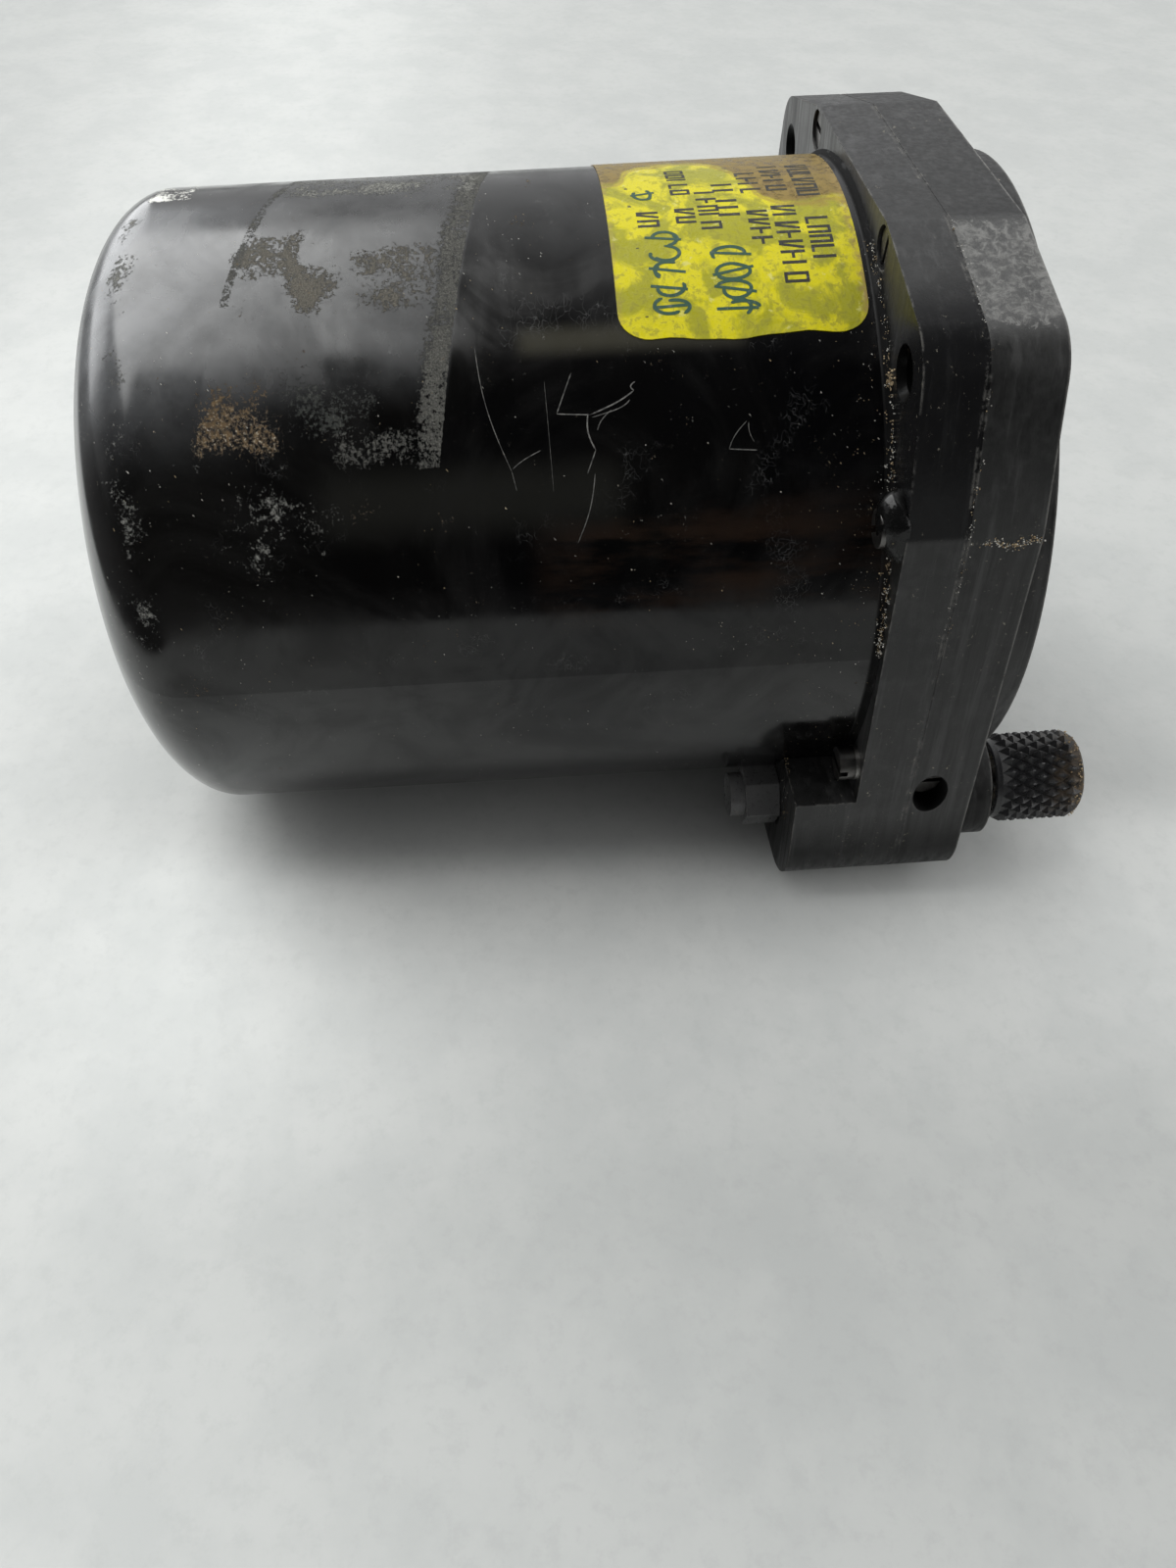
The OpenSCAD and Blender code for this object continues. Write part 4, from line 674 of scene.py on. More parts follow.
moulding = black_moulding()
rear_black = satin_plate("rear_flange_black", 0.0115, 0.34, 0.0084)
front_black = satin_plate("front_plate_black", 0.0105, 0.41, 0.0080, scuffed=True)
nut_black = dull_black("nut_black", 0.06, 0.30)
screw_black = metal("screw_black", (0.16, 0.155, 0.15), 0.34, dirt_share=0.8)
rubber = dull_black("gasket_rubber", 0.008, 0.6)
ring_black = dull_black("ring_black", 0.012, 0.4)
dial_black = dull_black("dial_black", 0.006, 0.7, lighter=1.4)
screw_steel = metal("screw_steel", (0.42, 0.41, 0.39), 0.32, dirt_share=0.75)
bushing_brass = metal("bushing_brass", (0.62, 0.44, 0.18), 0.28)
gear_brass = metal("gear_brass", (0.78, 0.58, 0.26), 0.24, dirt_share=0.2)
plate_aluminium = metal("plate_aluminium", (0.72, 0.73, 0.74), 0.32, grain=(1.0, 1.0, 0.06),
                        dirt_share=0.15)
shaft_steel = metal("shaft_steel", (0.55, 0.55, 0.56), 0.22, grain=(1.0, 0.1, 1.0), dirt_share=0.2)
spring_blue = metal("spring_blue", (0.10, 0.16, 0.34), 0.25, dirt_share=0.1)
capsule_metal = metal("capsule_metal", (0.74, 0.62, 0.38), 0.26, dirt_share=0.2)
pointer_white = white_paint()
glass = clear_glass()
yellow = label_paper()
print_ink = ink("print_ink", (0.014, 0.014, 0.010))
pen_ink = ink("pen_ink", (0.012, 0.060, 0.035))
tan_crust = crust("tan_crust", (0.42, 0.33, 0.20), (0.15, 0.10, 0.05))
grey_crust = crust("grey_crust", (0.55, 0.54, 0.50), (0.26, 0.25, 0.22))
scratch_grey = crust("scratch_grey", (0.125, 0.123, 0.115), (0.03, 0.03, 0.029))
sealing_varnish = varnish("sealing_varnish", 0.42, 0.07)
thick_varnish = varnish("thick_varnish", 0.13, 0.35)


# Case


def barrel():
    """Barrel, turned in one outline with its bore."""
    steps, inner_steps = 28, 12
    root, bore, wall, end = 14.3, 6.55, 36.0, 102.1
    outside = [(40.0, root), (40.0, 14.8), (39.75, 14.95), (39.55, 15.25), (39.45, 15.6)]
    outside += [(barrel_radius(y), y) for y in [16.0 + i * 3.895 for i in range(21)]]
    for i in range(1, steps + 1):
        a = i * math.pi / 2 / steps
        outside.append((38.8 - 22.7 * (1 - math.cos(a)), EDGE_START + 12.2 * math.sin(a)))
    outside += [(12.0, BARREL_BACK), (7.0, BARREL_BACK), (bore, BARREL_BACK - 0.35)]
    inside = [(bore, 94.1), (9.0, 94.1), (9.0, end)]
    for i in range(inner_steps + 1):
        a = i * math.pi / 2 / inner_steps
        inside.append((wall - 19.9 * (1 - math.sin(a)), end - 10.2 * (1 - math.cos(a))))
    inside.append((wall, root))
    bm = bmesh.new()
    lathe(bm, outside + inside, 192)
    layer = bm.loops.layers.uv.new("turned")
    for face in bm.faces:
        middle = face.calc_center_median()
        turn = math.degrees(math.atan2(middle.z, middle.x))
        for loop in face.loops:
            angle = math.degrees(math.atan2(loop.vert.co.z, loop.vert.co.x))
            angle += 360 * round((turn - angle) / 360)
            loop[layer].uv = (angle / 100, loop.vert.co.y / 100)
    return finished(made_object("barrel", bm), moulding, "case", ["case_shell"])


def rear_flange():
    """Rear flange with the housing block of the knob shaft."""
    bm = bmesh.new()
    flange_prism(bm, FLANGE_FRONT, FLANGE_BACK)
    body = made_object("rear_flange", bm)
    bm = bmesh.new()
    flange_prism(bm, FLANGE_BACK - 1, HOUSING_BACK)
    for normal in ((1, 0, 0), (0, 0, 1)):
        cut = sliced(bm, (-22, 0, -22), normal, clear_outer=True)["geom_cut"]
        bmesh.ops.contextual_create(bm, geom=[part for part in cut if isinstance(part, bmesh.types.BMEdge)])
    combined(body, made_object("housing", bm), "UNION")
    bm = bmesh.new()
    cylinder(bm, 39.0, 6, 40, steps=192)
    for x, z in MOUNT_SPOTS:
        cylinder(bm, CLEARANCE_R, 6, 18, x, z)
        cylinder(bm, CLEARANCE_R, FLANGE_BACK - 0.8, FLANGE_BACK + 0.2, x, z, r_back=3.1)
    holes(bm, PROUD_SCREWS + SUNK_SCREWS, THREAD_R, 6, 18, steps=32)
    holes(bm, SUNK_SCREWS, 2.3, FLANGE_BACK - 2.4, 18)
    cylinder(bm, 9.3, 7, 14.1, *KNOB_AXIS)
    cylinder(bm, 2.05, 13, 30, *KNOB_AXIS)
    cylinder(bm, 3.4, HOUSING_BACK - 3, 30, *KNOB_AXIS)
    combined(body, made_object("holes", bm), "DIFFERENCE")
    return finished(softened(body, 0.28, seam=FLANGE_FRONT), rear_black, "case", ())


def front_plate():
    """Front plate with the raised rim around the glass and the boss of the knob."""
    bm = bmesh.new()
    flange_prism(bm, 0, PLATE_BACK)
    body = made_object("front_plate_body", bm)
    for radius, y, x, z in ((39.4, -3.4, 0, 0), (7.3, -5.1, *KNOB_AXIS)):
        bm = bmesh.new()
        cylinder(bm, radius, y, 1, x, z, steps=192 if x == 0 else 96)
        combined(body, made_object("raised", bm), "UNION")
    bm = bmesh.new()
    lathe(bm, [(0, -7), (35.8, -7), (35.8, -2.6), (36.4, -2.6), (36.4, -1.6), (35.8, -1.6), (35.8, 1.0),
               (33.4, 1.0), (33.4, 1.8), (35.0, 1.8), (35.0, 7.1), (38.0, 7.1), (38.0, 9), (0, 9)], 192)
    holes(bm, MOUNT_SPOTS, CLEARANCE_R, -1, 10)
    holes(bm, PROUD_SCREWS + SUNK_SCREWS, THREAD_R, 2.5, 10, steps=32)
    cylinder(bm, 3.45, -7, 6.9, *KNOB_AXIS)
    cylinder(bm, 2.1, 6, 10, *KNOB_AXIS)
    sideways = (Matrix.Translation((-FLAT + 2, 5.4, -21.3)) @ turned(90, "Y")
                @ Matrix.Diagonal((SIDE_HOLE_TALLER, 1.0, 1.0, 1.0)))
    bmesh.ops.create_cone(bm, cap_ends=True, segments=64, radius1=2.15, radius2=2.15, depth=6,
                          matrix=sideways)
    combined(body, made_object("holes", bm), "DIFFERENCE")
    return finished(softened(body, 0.3, seam=PLATE_BACK), front_black, "case", ["front_plate"])


def plate_gasket():
    """Gasket between the two plates, flush with their edges."""
    bm = bmesh.new()
    flange_prism(bm, PLATE_BACK, FLANGE_FRONT, 0.05)
    body = made_object("plate_gasket", bm)
    bm = bmesh.new()
    cylinder(bm, 38.6, 6, 10, steps=128)
    holes(bm, MOUNT_SPOTS, CLEARANCE_R, 6, 10)
    combined(body, made_object("holes", bm), "DIFFERENCE")
    return finished(body, rear_black, "case", ["flange_gasket"])


# Knob


def knurled_knob():
    """Knob with crossed helical grooves, a chamfer at the front and a smooth collar."""
    count, rows = 21, 9
    y_front, y_collar, y_back = -18.6, -6.95, -6.4
    r_top, r_groove, r_end = 6.2, 5.3, 5.45
    front = [(0.0, y_front), (3.0, y_front), (4.7, y_front), (5.15, y_front + 0.15)]
    length = y_collar - 0.35 - y_front - 0.45
    knurl = [(None, y_front + 0.45 + j / (rows - 1) * length) for j in range(rows)]
    back = [(5.4, y_collar - 0.05), (5.4, y_collar + 0.1), (5.4, y_back - 0.2), (5.2, y_back),
            (2.1, y_back), (2.1, -17.0), (0.0, -17.0)]
    stations = front + knurl + back
    bm = bmesh.new()
    bmesh.ops.create_grid(bm, x_segments=2 * count, y_segments=len(stations) - 1, size=1)
    valleys, peaks = [], []
    for v in bm.verts:
        i = round((v.co.x + 1) * count)
        j = round((v.co.y + 1) / 2 * (len(stations) - 1))
        r, y = stations[j]
        if r is None:
            at_end = j in (len(front), len(front) + rows - 1)
            is_peak = (i + j) % 2 == 0 and not at_end
            r = r_end if at_end else r_top if is_peak else r_groove
            (peaks if is_peak else valleys).append(v)
        a = math.pi * i / count
        v.co = Vector((KNOB_AXIS[0] + r * math.cos(a), y, KNOB_AXIS[1] + r * math.sin(a)))
    bmesh.ops.connect_verts(bm, verts=valleys)
    bmesh.ops.bevel(bm, geom=peaks, offset=0.22, offset_type="OFFSET", segments=1, profile=0.5,
                    affect="VERTICES", material=-1)
    bmesh.ops.remove_doubles(bm, verts=bm.verts, dist=1e-4)
    made = made_object("knurled_knob", bm, edge=12)
    return finished(made, knob_finish(), "knob", ["setting_knob"])


def knob_finish():
    """Black knob with lighter tips, partly wear and partly painted highlight, and brown dirt packed into the
    grooves of its front.
    """
    f = Finish("knurl_black", grey(0.01), 0.3)
    x, y, z = f.parts(f.mapped(Location=(-KNOB_AXIS[0] * MM, 0, -KNOB_AXIS[1] * MM)))
    radius = f.length(x, z)
    # Lighter tips: partly worn, partly a painted highlight where the tips catch the light
    worn = f.between(radius, 0.00598, 0.00612) * f.clouds(0.42, 0.6, 700, 5, 0.7)
    packed = (f.between(radius, 0.0059, 0.0055) * f.between(y, -0.0125, -0.0155)
              * f.clouds(0.42, 0.60, 420, 6, 0.7))
    caked = (f.between(y, -0.0155, -0.0183) * f.between(radius, 0.0038, 0.0054)
             * f.clouds(0.46, 0.60, 560, 6, 0.72))
    dirt = f.most(packed * 0.45, caked) * 0.9
    base = f.coats((0.016, 0.016, 0.017), (worn * 0.8, grey(0.24)),
                   (dirt, f.blend(f.noise(1500, 4), (0.05, 0.032, 0.016), (0.20, 0.145, 0.085))))
    rough = f.vary(dirt, f.clouds(0.3, 0.7, 900, 4, to=(0.20, 0.34)), 0.9)
    return f.give(Base_Color=base, Roughness=rough, Normal=f.bump(f.noise(2400, 5, 0.7), 0.00006, 0.5))


# Label


LABEL_LOW, LABEL_HIGH = 125.5, 52.0
LABEL_FRONT, LABEL_BACK = 16.3, 43.3


def thickened(bm, thickness):
    """Gives flat faces a thickness."""
    top = bmesh.ops.extrude_face_region(bm, geom=bm.faces[:])
    bmesh.ops.translate(bm, vec=(0, 0, thickness), verts=corners(top))


def label_sheet():
    """Curved label with rounded corners and a slightly wavy lower edge."""
    bm = bmesh.new()
    spots = [(LABEL_HIGH * DEGREE, LABEL_FRONT), (LABEL_LOW * DEGREE, LABEL_FRONT),
             (LABEL_LOW * DEGREE, LABEL_BACK), (LABEL_HIGH * DEGREE, LABEL_BACK)]
    face = bm.faces.new([bm.verts.new((a, y, 0)) for a, y in spots])
    bmesh.ops.bevel(bm, geom=list(face.verts), offset=3.4, offset_type="OFFSET", segments=8, profile=0.5,
                    affect="VERTICES", material=-1)
    around, along = 48, 20
    for i in range(1, around):
        sliced(bm, ((LABEL_HIGH + (LABEL_LOW - LABEL_HIGH) * i / around) * DEGREE, 0, 0), (1, 0, 0))
    for i in range(1, along):
        sliced(bm, (0, LABEL_FRONT + (LABEL_BACK - LABEL_FRONT) * i / along, 0), (0, 1, 0))
    layer = bm.loops.layers.uv.new("sheet")
    for face in bm.faces:
        for loop in face.loops:
            loop[layer].uv = (loop.vert.co.x / DEGREE / 100, loop.vert.co.y / 100)
    thickened(bm, 0.11)
    for v in bm.verts:
        low = max(0.0, (v.co.x / DEGREE - 119) / 6.5)
        v.co.x += low * (0.26 * math.sin(v.co.y * 0.42 + 1) + 0.07 * math.sin(v.co.y * 1.3))
    rolled(bm, 0.03)
    return finished(made_object("service_label", bm, edge=40), yellow, "case", ["label"])


def ribbon(bm, points, width, tip=1.0):
    """A flat stroke of (degrees, station) points, whose ends may be narrower."""
    spots = [Vector((a * DEGREE, y, 0)) for a, y in points]
    rails = []
    for i, spot in enumerate(spots):
        ahead = spots[min(i + 1, len(spots) - 1)] - spots[max(i - 1, 0)]
        side = Vector((-ahead.y, ahead.x, 0)).normalized()
        taper = tip if i in (0, len(spots) - 1) else 1.0
        rails.append([bm.verts.new(spot + side * width / 2 * taper * s) for s in (-1, 1)])
    for a, b in zip(rails, rails[1:]):
        bm.faces.new((a[0], a[1], b[1], b[0]))


def laid_on_barrel(name, bm, lift, thickness, material):
    """Gives strokes a thickness and lays them on the barrel."""
    bmesh.ops.recalc_face_normals(bm, faces=bm.faces)
    for face in bm.faces:
        if face.normal.z < 0:
            face.normal_flip()
    thickened(bm, thickness)
    rolled(bm, lift)
    return finished(made_object(name, bm), material, "case")


def label_print():
    """Rows of generic upright bars in place of print, and ruled lines."""
    draw = random.Random(12)
    bm = bmesh.new()
    rows = ((20.2, 84, 98, 2.2), (20.2, 103, 114, 2.2), (23.6, 84, 95, 2.0), (23.6, 99.5, 119, 2.3),
            (26.6, 87, 97, 2.0), (26.6, 100.5, 110, 2.0), (31.9, 94, 105, 2.0), (31.9, 107.5, 109, 2.0),
            (34.6, 84, 97, 1.9), (34.6, 99, 105.5, 1.9), (38.8, 99.5, 105.5, 2.1))
    pitch = 2.2
    for y, start, end, height in rows:
        for i in range(int((end - start) / pitch)):
            a = start + i * pitch
            low, high = y - height * 0.58, y + height * 0.58
            wide = draw.uniform(1.2, 1.5)
            form = draw.choice("llnuztivv")
            ribbon(bm, [(a, low), (a, high)], 0.42)
            if form in "nuz":
                ribbon(bm, [(a + wide, low), (a + wide, high)], 0.40)
            if form in "nzt":
                ribbon(bm, [(a, high - 0.15), (a + wide, high - 0.15)], 0.34)
            if form in "uz":
                ribbon(bm, [(a, low + 0.15), (a + wide, low + 0.15)], 0.34)
            if form == "v":
                ribbon(bm, [(a + wide, low), (a + wide / 3, high)], 0.38)
            if form == "i":
                ribbon(bm, [(a, y), (a + wide, y)], 0.34)
    for a in (91.5, 93.5, 97.0, 99.0, 101.0):
        ribbon(bm, [(a, 28.5), (a, 30.9)], 0.5)
    ribbon(bm, [(91, 40.6), (97.5, 40.6)], 0.34)
    ribbon(bm, [(108, 40.4), (121.5, 40.2)], 0.34)
    return laid_on_barrel("label_print", bm, 0.14, 0.012, print_ink)


def pen_strokes():
    """Hurried pen strokes on the label's two blank fields, which spell nothing."""
    draw = random.Random(21)
    bm = bmesh.new()
    fields = ((30.4, 108.5, 122.5, 2.5, 4), (37.5, 104.5, 121.5, 2.2, 5), (38.9, 91.5, 95.5, 1.5, 1))
    for middle, start, end, size, count in fields:
        for k in range(count):
            a = start + (end - start) * (k + 0.5) / count
            wide = (end - start) / count * 0.5
            for _ in range(2):
                turn, sweep = draw.uniform(0, 6.28), draw.choice((-1, 1)) * draw.uniform(1.6, 4.2)
                hook = draw.uniform(0.3, 1.0)
                points = []
                for i in range(17):
                    t = i / 16
                    swing = turn + sweep * t
                    points.append((a + wide * math.cos(swing) * (1 - 0.4 * t * hook),
                                   middle + size * math.sin(swing) * (0.55 + 0.45 * hook) * (1 - 0.3 * t)))
                ribbon(bm, points, 0.40, 0.4)
            if draw.random() > 0.4:
                lean = draw.uniform(-0.7, 0.7)
                ribbon(bm, [(a - lean, middle - size * 0.9), (a + lean, middle + size * 0.9)], 0.36)
    return laid_on_barrel("pen_strokes", bm, 0.155, 0.012, pen_ink)


# Marks on the barrel


def scratches():
    """Pale scratches scored into the gloss: degrees and mm behind the flange at both ends, width, bow."""
    strokes = (
        (124.8, 43.9, 144.6, 40.8, 0.16, 0.7), (144.6, 40.8, 147.5, 40.4, 0.12, 0.0),
        (144.2, 40.7, 141.6, 37.6, 0.20, 0.3), (129.9, 33.9, 136.2, 35.7, 0.22, 0.0),
        (136.2, 35.7, 136.6, 32.2, 0.24, 0.0), (136.6, 32.2, 133.2, 27.4, 0.30, -0.5),
        (137.0, 32.0, 134.6, 27.9, 0.22, -0.9), (133.2, 27.4, 131.8, 27.2, 0.24, 0.4),
        (136.4, 32.4, 142.0, 31.8, 0.30, 0.4), (142.0, 31.8, 145.5, 32.8, 0.24, 0.0),
        (139.0, 31.5, 136.0, 29.9, 0.20, 0.3), (145.5, 32.0, 156.1, 34.2, 0.20, -0.4),
        (131.0, 36.8, 148.0, 36.5, 0.07, 0.0), (138.8, 15.6, 142.9, 17.6, 0.16, 0.3),
        (142.9, 17.6, 143.3, 14.6, 0.24, 0.0), (139.0, 15.4, 142.0, 14.9, 0.14, 0.2))
    bm = bmesh.new()
    steps = 12
    for a0, y0, a1, y1, width, bow in strokes:
        y0, y1 = y0 + FLANGE_BACK, y1 + FLANGE_BACK
        spots = []
        for i in range(steps + 1):
            t = i / steps
            spots.append((a0 + (a1 - a0) * t, y0 + (y1 - y0) * t + bow * math.sin(math.pi * t)))
        ribbon(bm, spots, width * 0.5, 0.2)
    return laid_on_barrel("scratches", bm, -0.004, 0.012, scratch_grey)


def crumbs(name, places, material, seed, body="case"):
    """Small lumps of dried dirt around given places: (centre, spread along each axis, count, size)."""
    draw = random.Random(seed)
    bm = bmesh.new()
    for centre, spread, count, size in places:
        for _ in range(count):
            offset = Vector([draw.gauss(0, s) for s in spread])
            point = Vector(centre) + offset
            scale = size * draw.uniform(0.35, 1.15)
            lump = bmesh.ops.create_icosphere(bm, subdivisions=1, radius=scale,
                                              matrix=Matrix.Translation(point))
            for v in lump["verts"]:
                v.co += Vector([draw.uniform(-0.3, 0.3) * scale for _ in range(3)])
    return finished(made_object(name, bm, edge=50), material, body)


def dirt():
    """Dirt in the corner behind the flange, on the varnish, at the seam, and on plate, housing and knob."""
    draw = random.Random(5)
    pale, brown, packed = [], [], []

    def either(share, *place):
        (pale if draw.random() < share else brown).append(place)

    for _ in range(230):
        a = 178 - 68 * draw.random() ** 1.5
        spot = at(39.9 + abs(draw.gauss(0, 0.45)), a, 14.9 + abs(draw.gauss(0, 0.35)))
        either(0.55, spot, (0.22, 0.06, 0.22), 3, draw.uniform(0.035, 0.10))
    for _ in range(34):
        a = draw.uniform(112, 174)
        y = 15.6 + abs(draw.gauss(0, 2.0))
        either(0.5, at(barrel_radius(y), a, y), (0.25, 0.35, 0.25), 3, draw.uniform(0.03, 0.07))
    brown.append((at(40.6, 155.5, 15.6), (0.4, 0.3, 0.8), 60, 0.15))
    brown.append((at(40.4, 134.0, 15.1), (0.5, 0.2, 0.6), 40, 0.13))
    skin = 41.27
    for i in range(60):
        share = i / 59
        spot = Vector((-skin, 6.3 - 6.2 * share, 16.6 + 0.35 * math.sin(share * 9)))
        either(0.4, spot, (0.03, 0.25, 0.30), 3, 0.10)
    corner = [(-FLAT_HALF, skin), (-32.9, 37.55), (-35.9, 35.9), (-37.55, 32.9), (-skin, FLAT_HALF),
              (-skin, 4.0)]
    for (x0, z0), (x1, z1) in zip(corner, corner[1:]):
        steps = int(math.hypot(x1 - x0, z1 - z0) * 2.2)
        for _ in range(steps):
            t = draw.random()
            spot = Vector((x0 + (x1 - x0) * t, 7.95 + draw.gauss(0, 0.18), z0 + (z1 - z0) * t))
            either(0.65, spot, (0.02, 0.10, 0.10), 2, draw.uniform(0.03, 0.085))
    for _ in range(190):
        deep = abs(draw.gauss(0, 0.8))
        a, r = draw.uniform(0, 360), 5.25 + min(deep, 0.5) * 1.3 + draw.uniform(-0.35, 0.05)
        place = Vector((KNOB_AXIS[0] + r * math.cos(math.radians(a)), -18.35 + deep,
                        KNOB_AXIS[1] + r * math.sin(math.radians(a))))
        packed.append((place, (0.04, 0.05, 0.04), 1, draw.uniform(0.08, 0.18)))
    for x, z in ((-33.5, -20.5), (-30, -23), (-37.0, -27.5), (-35.5, -25.0)):
        either(0.2, Vector((x, 22.5, z)), (0.9, 0.08, 0.9), 16, 0.07)
    crumbs("pale_dirt", pale, grey_crust, 7)
    crumbs("brown_dirt", brown, tan_crust, 8)
    crumbs("knob_dirt", packed, tan_crust, 11, "knob")


def varnish_bump():
    """Lump of sealing varnish over the head of the upper left screw."""
    bm = bmesh.new()
    bmesh.ops.create_icosphere(bm, subdivisions=4, radius=1)
    draw = random.Random(3)
    waves = [(Vector([draw.uniform(-1, 1) for _ in range(3)]), draw.uniform(2, 5), draw.uniform(0, 6))
             for _ in range(8)]
    for v in bm.verts:
        n = v.co.normalized()
        swell = 1 + 0.06 * sum(math.sin(n.dot(w) * k + p) for w, k, p in waves)
        v.co = Vector((-38.0, SPIGOT_Y, 17.3)) + Vector((n.x * 3.3, n.y * 3.3, n.z * 3.9)) * swell
        v.co.y = max(v.co.y, SPIGOT_Y - 0.1)
        v.co.x = max(v.co.x, -41.2)
    return finished(made_object("varnish_bump", bm, edge=80), thick_varnish, "case")


def varnish_bead():
    """Uneven bead of varnish around the root of the barrel."""
    bm = bmesh.new()
    lathe(bm, [(SPIGOT_R, SPIGOT_Y), (40.15, SPIGOT_Y), (39.95, 14.78), (39.7, 14.93), (39.55, 15.1),
               (39.45, 15.35), (SPIGOT_R, 15.35)], 256)
    draw = random.Random(9)
    waves = [(draw.randint(3, 40), draw.uniform(0, 6), draw.uniform(0.3, 1)) for _ in range(14)]
    for v in bm.verts:
        r = math.hypot(v.co.x, v.co.z)
        a = math.atan2(v.co.z, v.co.x)
        swell = sum(h * math.sin(k * a + p) for k, p, h in waves) / 6
        out = (r - SPIGOT_R) * (1 + 0.35 * swell)
        y = SPIGOT_Y + (v.co.y - SPIGOT_Y) * (1 + 0.45 * swell)
        v.co = Vector(((SPIGOT_R + out) * math.cos(a), y, (SPIGOT_R + out) * math.sin(a)))
    made = made_object("varnish_bead", bm, edge=60)
    tool = bmesh.new()
    flange_prism(tool, 14.0, 18.0, 0.4)
    combined(made, made_object("trim", tool), "INTERSECT")
    made.data.shade_smooth()
    return finished(made, sealing_varnish, "case")


# Front


def cover_lens():
    """Cover glass with ground edges."""
    bm = bmesh.new()
    lathe(bm, [(0, -1.6), (35.0, -1.6), (35.5, -1.2), (35.5, 0.0), (35.1, 0.4), (0, 0.4)], 192,
          closed=False)
    return finished(made_object("cover_lens", bm), glass, "case", ["cover_glass"])


def lettered(bm, text, size, place, turn=0.0):
    """Adds plain numerals that face the front, centred on a place and turned clockwise."""
    curve = bpy.data.curves.new("numeral", "FONT")
    curve.body = text
    curve.size = size
    curve.align_x, curve.align_y = "CENTER", "CENTER"
    curve.extrude = 0.02
    temp = linked("numeral", curve)
    mesh = evaluated(temp)
    mesh.transform(Matrix.Translation(place) @ turned(turn, "Y") @ turned(90, "X"))
    bm.from_mesh(mesh)
    bpy.data.objects.remove(temp)
    bpy.data.meshes.remove(mesh)


def bar(bm, r0, r1, degrees, width, y0, y1):
    """A thin radial mark on the dial."""
    made = bmesh.ops.create_cube(bm, size=1)["verts"]
    bmesh.ops.scale(bm, vec=(r1 - r0, y1 - y0, width), verts=made)
    bmesh.ops.translate(bm, vec=((r0 + r1) / 2, (y0 + y1) / 2, 0), verts=made)
    bmesh.ops.rotate(bm, cent=(0, 0, 0), matrix=turned(-degrees, "Y").to_3x3(), verts=made)


def dial_marks():
    """Plain numbers from 0 to 9 and their divisions."""
    bm = bmesh.new()
    for i in range(50):
        long_mark = i % 5 == 0
        degrees = 90 - 7.2 * i
        if abs(math.remainder(degrees, 360)) < 12 and not long_mark:
            continue
        bar(bm, 28.6 if long_mark else 30.6, 33.0, degrees, 0.75 if long_mark else 0.42, 6.26, 6.31)
    for n in range(10):
        lettered(bm, str(n), 7.6, at(24.4, 90 - 36 * n, 6.28))
    return finished(made_object("dial_marks", bm), pointer_white, "case", ())


def scale_marks():
    """Numbers of the pressure scale, of which the window shows one or two."""
    bm = bmesh.new()
    for tenth in range(281, 311):
        turn = SCALE_TURN * (tenth / 10 - 29.92)
        lettered(bm, f"{tenth / 10:.1f}", 2.5, at(22.0, -turn, 8.69), turn)
        for k in range(5):
            bar(bm, 24.0, 25.0 if k == 0 else 24.6, -(turn + k * SCALE_TURN * 0.02), 0.16, 8.66, 8.71)
    return finished(made_object("scale_marks", bm), pointer_white, "pressure_scale", ())


def hub_cap():
    """Polished cap on the long pointer's hub."""
    bm = bmesh.new()
    lathe(bm, [(0, 1.75), (0.9, 1.8), (1.35, 2.0), (1.5, 2.28), (0, 2.28)], 48, closed=False)
    return finished(made_object("hub_cap", bm), shaft_steel, "long_hand", ())


# Fittings that keep their CAD shape with softer edges


def softened_copy(node, name, width, material):
    """A merged copy of a CAD node with small rounded edges."""
    bm = bmesh.new()
    bm.from_mesh(nodes[node].data)
    bmesh.ops.remove_doubles(bm, verts=bm.verts, dist=1e-6)
    bmesh.ops.dissolve_limit(bm, angle_limit=math.radians(1), verts=bm.verts, edges=bm.edges)
    mesh = bpy.data.meshes.new(name)
    bm.to_mesh(mesh)
    bm.free()
    return finished(softened(linked(name, mesh), width, 2), material, "case", [node])


for build in (barrel, rear_flange, front_plate, plate_gasket, knurled_knob, label_sheet, label_print,
              pen_strokes, scratches, dirt, varnish_bump, varnish_bead, cover_lens, dial_marks, scale_marks,
              hub_cap):
    build()
softened_copy("gland_nut", "gland_nut_body", 0.22, nut_black)
softened_copy("plate_screws", "plate_screw_heads", 0.12, screw_black)

CAD_FINISHES = (
    (screw_steel, "screw_washers dial_screws support_screws knob_set_screw pillar_screws"),
    (screw_black, "lock_screw"),
    (rubber, "glass_gasket shaft_seal"),
    (ring_black, "glass_ring dial_spacer"),
    (dial_black, "dial pressure_scale"),
    (gear_brass, "dial_support scale_keeper drive_pinion scale_pinion scale_idler idler_a idler_b"
                 " train_arbor_a train_arbor_b sector_gear"),
    (bushing_brass, "gear_studs knob_bushing port_insert bearing_ring compensator_arm"),
    (shaft_steel, "knob_shaft shaft_clip front_pillars rear_pillars long_staff medium_tube short_tube"
                  " idler_a_bush idler_b_bush medium_bush short_bush rocking_shaft balance_weight link_post"),
    (plate_aluminium, "carrier carrier_keeper back_plate rear_plate capsule_bracket"),
    (capsule_metal, "pressure_capsules"),
    (spring_blue, "hairspring"),
    (pointer_white, "long_pointer medium_pointer short_pointer"),
)
for material, names in CAD_FINISHES:
    for name in names.split():
        nodes[name].data.materials.clear()
        nodes[name].data.materials.append(material)


# Table, light and camera


def table():
    """Paper on the table, which touches the flange's rear edge and the rear end of the barrel."""
    bm = bmesh.new()
    bmesh.ops.create_grid(bm, x_segments=2, y_segments=2, size=1500)
    slope = 0.031
    for v in bm.verts:
        v.co.z = -41.3 + slope * (v.co.y - FLANGE_BACK)
    made = made_object("table", bm)
    made.data.materials.append(table_top())


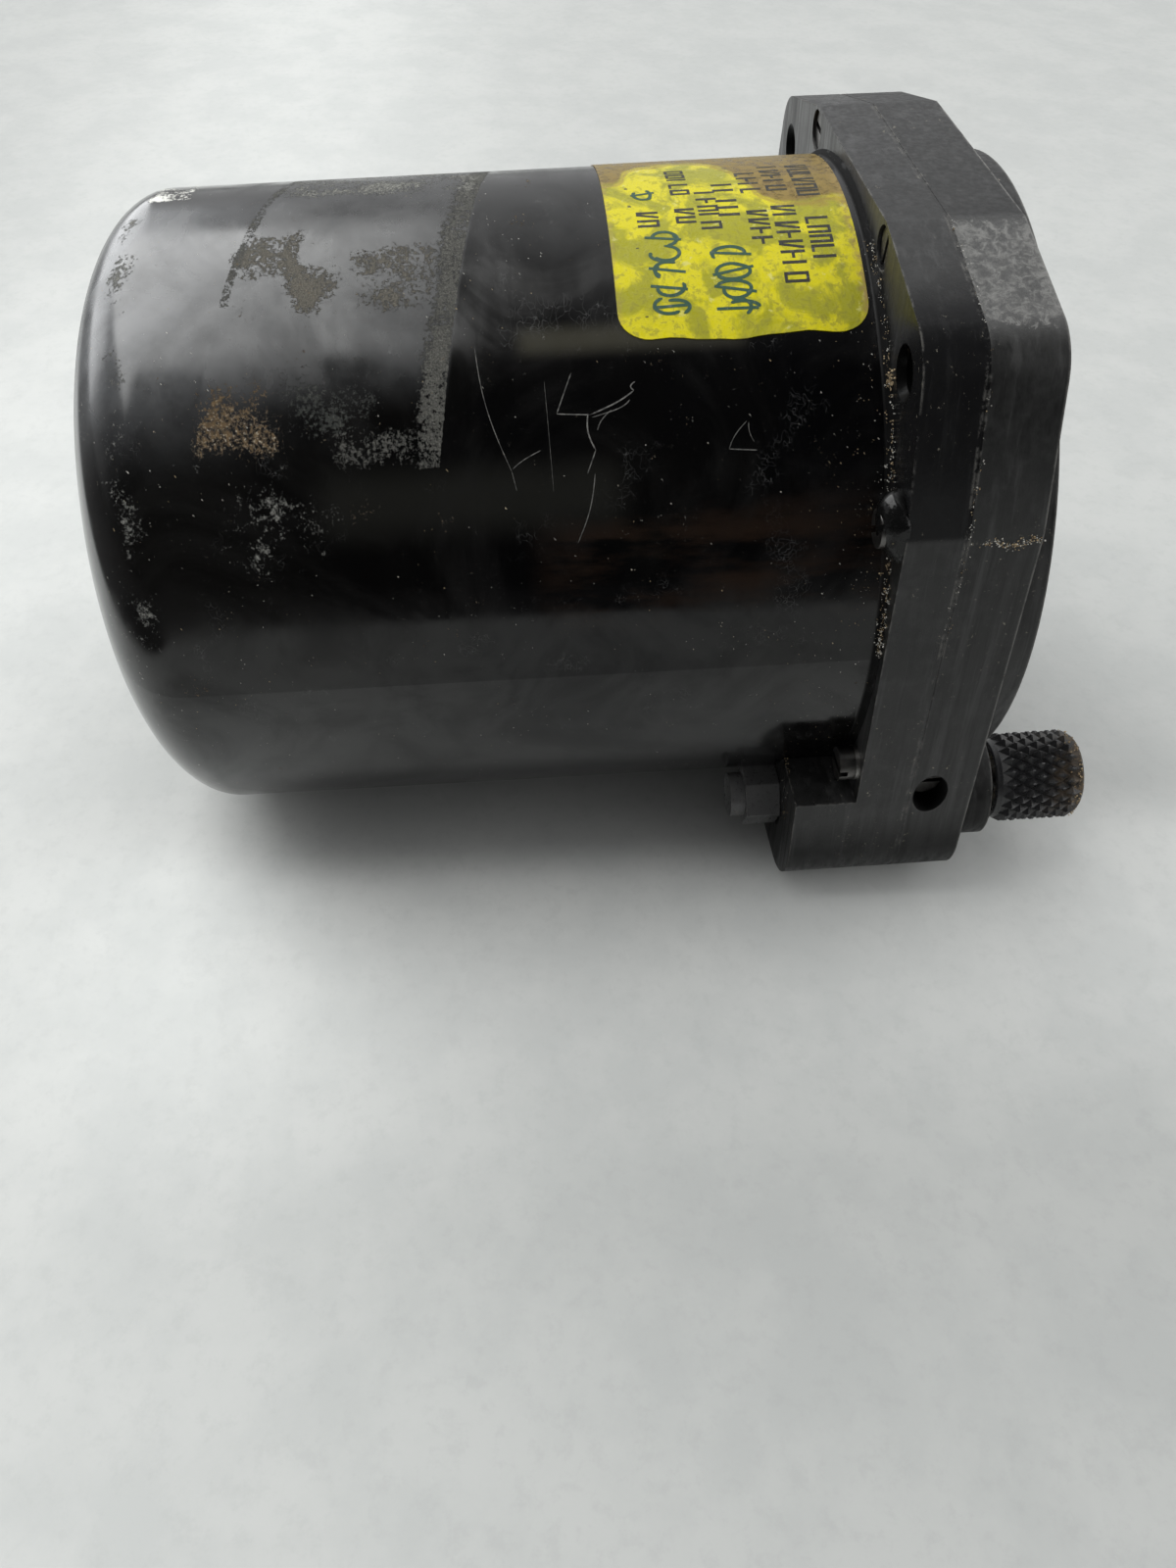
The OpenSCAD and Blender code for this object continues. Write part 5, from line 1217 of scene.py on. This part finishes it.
def surroundings():
    """Dim plain room, brighter on the far side, and a pale one behind the table for the camera."""
    world = bpy.data.worlds.new("room")
    scene.world = world
    f = Tree(world)
    f.tree.nodes.clear()
    ray = f.node("ShaderNodeLightPath", {}).outputs
    sideways = f.parts(f.value("ShaderNodeTexCoord", {}, "Generated"))[0]
    side = f.value("ShaderNodeMapRange", {"Value": sideways, "From Min": -1.0})
    ramp = f.node("ShaderNodeValToRGB", {0: side})
    stops = ((0.0, 0.012), (0.35, 0.02), (0.5, 0.10), (0.65, 0.32), (0.85, 0.72), (1.0, 0.56))
    ends = ramp.color_ramp.elements
    ends[0].position, ends[1].position = stops[0][0], stops[-1][0]
    for place, _ in stops[1:-1]:
        ends.new(place)
    for element, (_, level) in zip(ends, stops):
        element.color = (level, level * 1.01, level * 1.02, 1)
    room = f.value("ShaderNodeBackground", {"Color": ramp.outputs[0]})
    seen = f.value("ShaderNodeBackground", {"Color": FAR_PALE})
    mixed = f.value("ShaderNodeMixShader", {0: ray["Is Camera Ray"], 1: room, 2: seen})
    # Pale walls at the photographer's back light what is dull, and are too far aside to be mirrored
    fill = f.value("ShaderNodeBackground", {"Strength": f.math("MULTIPLY", ray["Is Diffuse Ray"], 0.85)})
    f.node("ShaderNodeOutputWorld", {0: f.value("ShaderNodeAddShader", {0: mixed, 1: fill})})


def faced(name, data, place, across, up, back):
    """Puts a lamp or a camera at a place, looking away from its back."""
    holder = linked(name, data)
    holder.matrix_world = Matrix.Translation(place) @ Matrix((across, up, back)).transposed().to_4x4()
    return holder


def softbox(name, direction, size, level, tint):
    """A flat lamp of a given brightness that faces the middle of the case."""
    middle, distance = Vector((0, 0.045, 0)), 1.8
    lamp = bpy.data.lights.new(name, "AREA")
    lamp.shape = "RECTANGLE"
    lamp.size, lamp.size_y = size
    lamp.energy = level * math.pi * size[0] * size[1]
    lamp.color = tint
    aim = Vector(direction).normalized()
    across = Vector((0, 1, 0)).cross(aim).normalized()
    faced(name, lamp, middle + aim * distance, across, aim.cross(across), aim).visible_camera = False


def camera():
    """Camera at the photograph's place."""
    data = bpy.data.cameras.new("camera")
    data.sensor_width = 36
    data.sensor_fit = "AUTO"
    data.lens = 29.961
    data.clip_start = 0.005
    right = Vector((-0.0774, -0.9969, -0.0129)).normalized()
    back = Vector((-0.7003, 0.0452, 0.7124)).normalized()
    up = back.cross(right).normalized()
    scene.camera = faced("camera", data, (-0.15261, 0.05593, 0.09773), up.cross(back), up, back)


table()
surroundings()
softbox("window", (0.335, 0.44, 0.835), (2.05, 1.45), 3.4, (0.99, 1.0, 0.99))
softbox("far_window", (0.72, 0.66, 0.21), (1.05, 1.5), 1.9, (0.97, 0.99, 1.0))
softbox("front_fill", (-0.12, -0.84, 0.52), (2.6, 1.5), 1.15, (1.0, 1.0, 0.985))
camera()
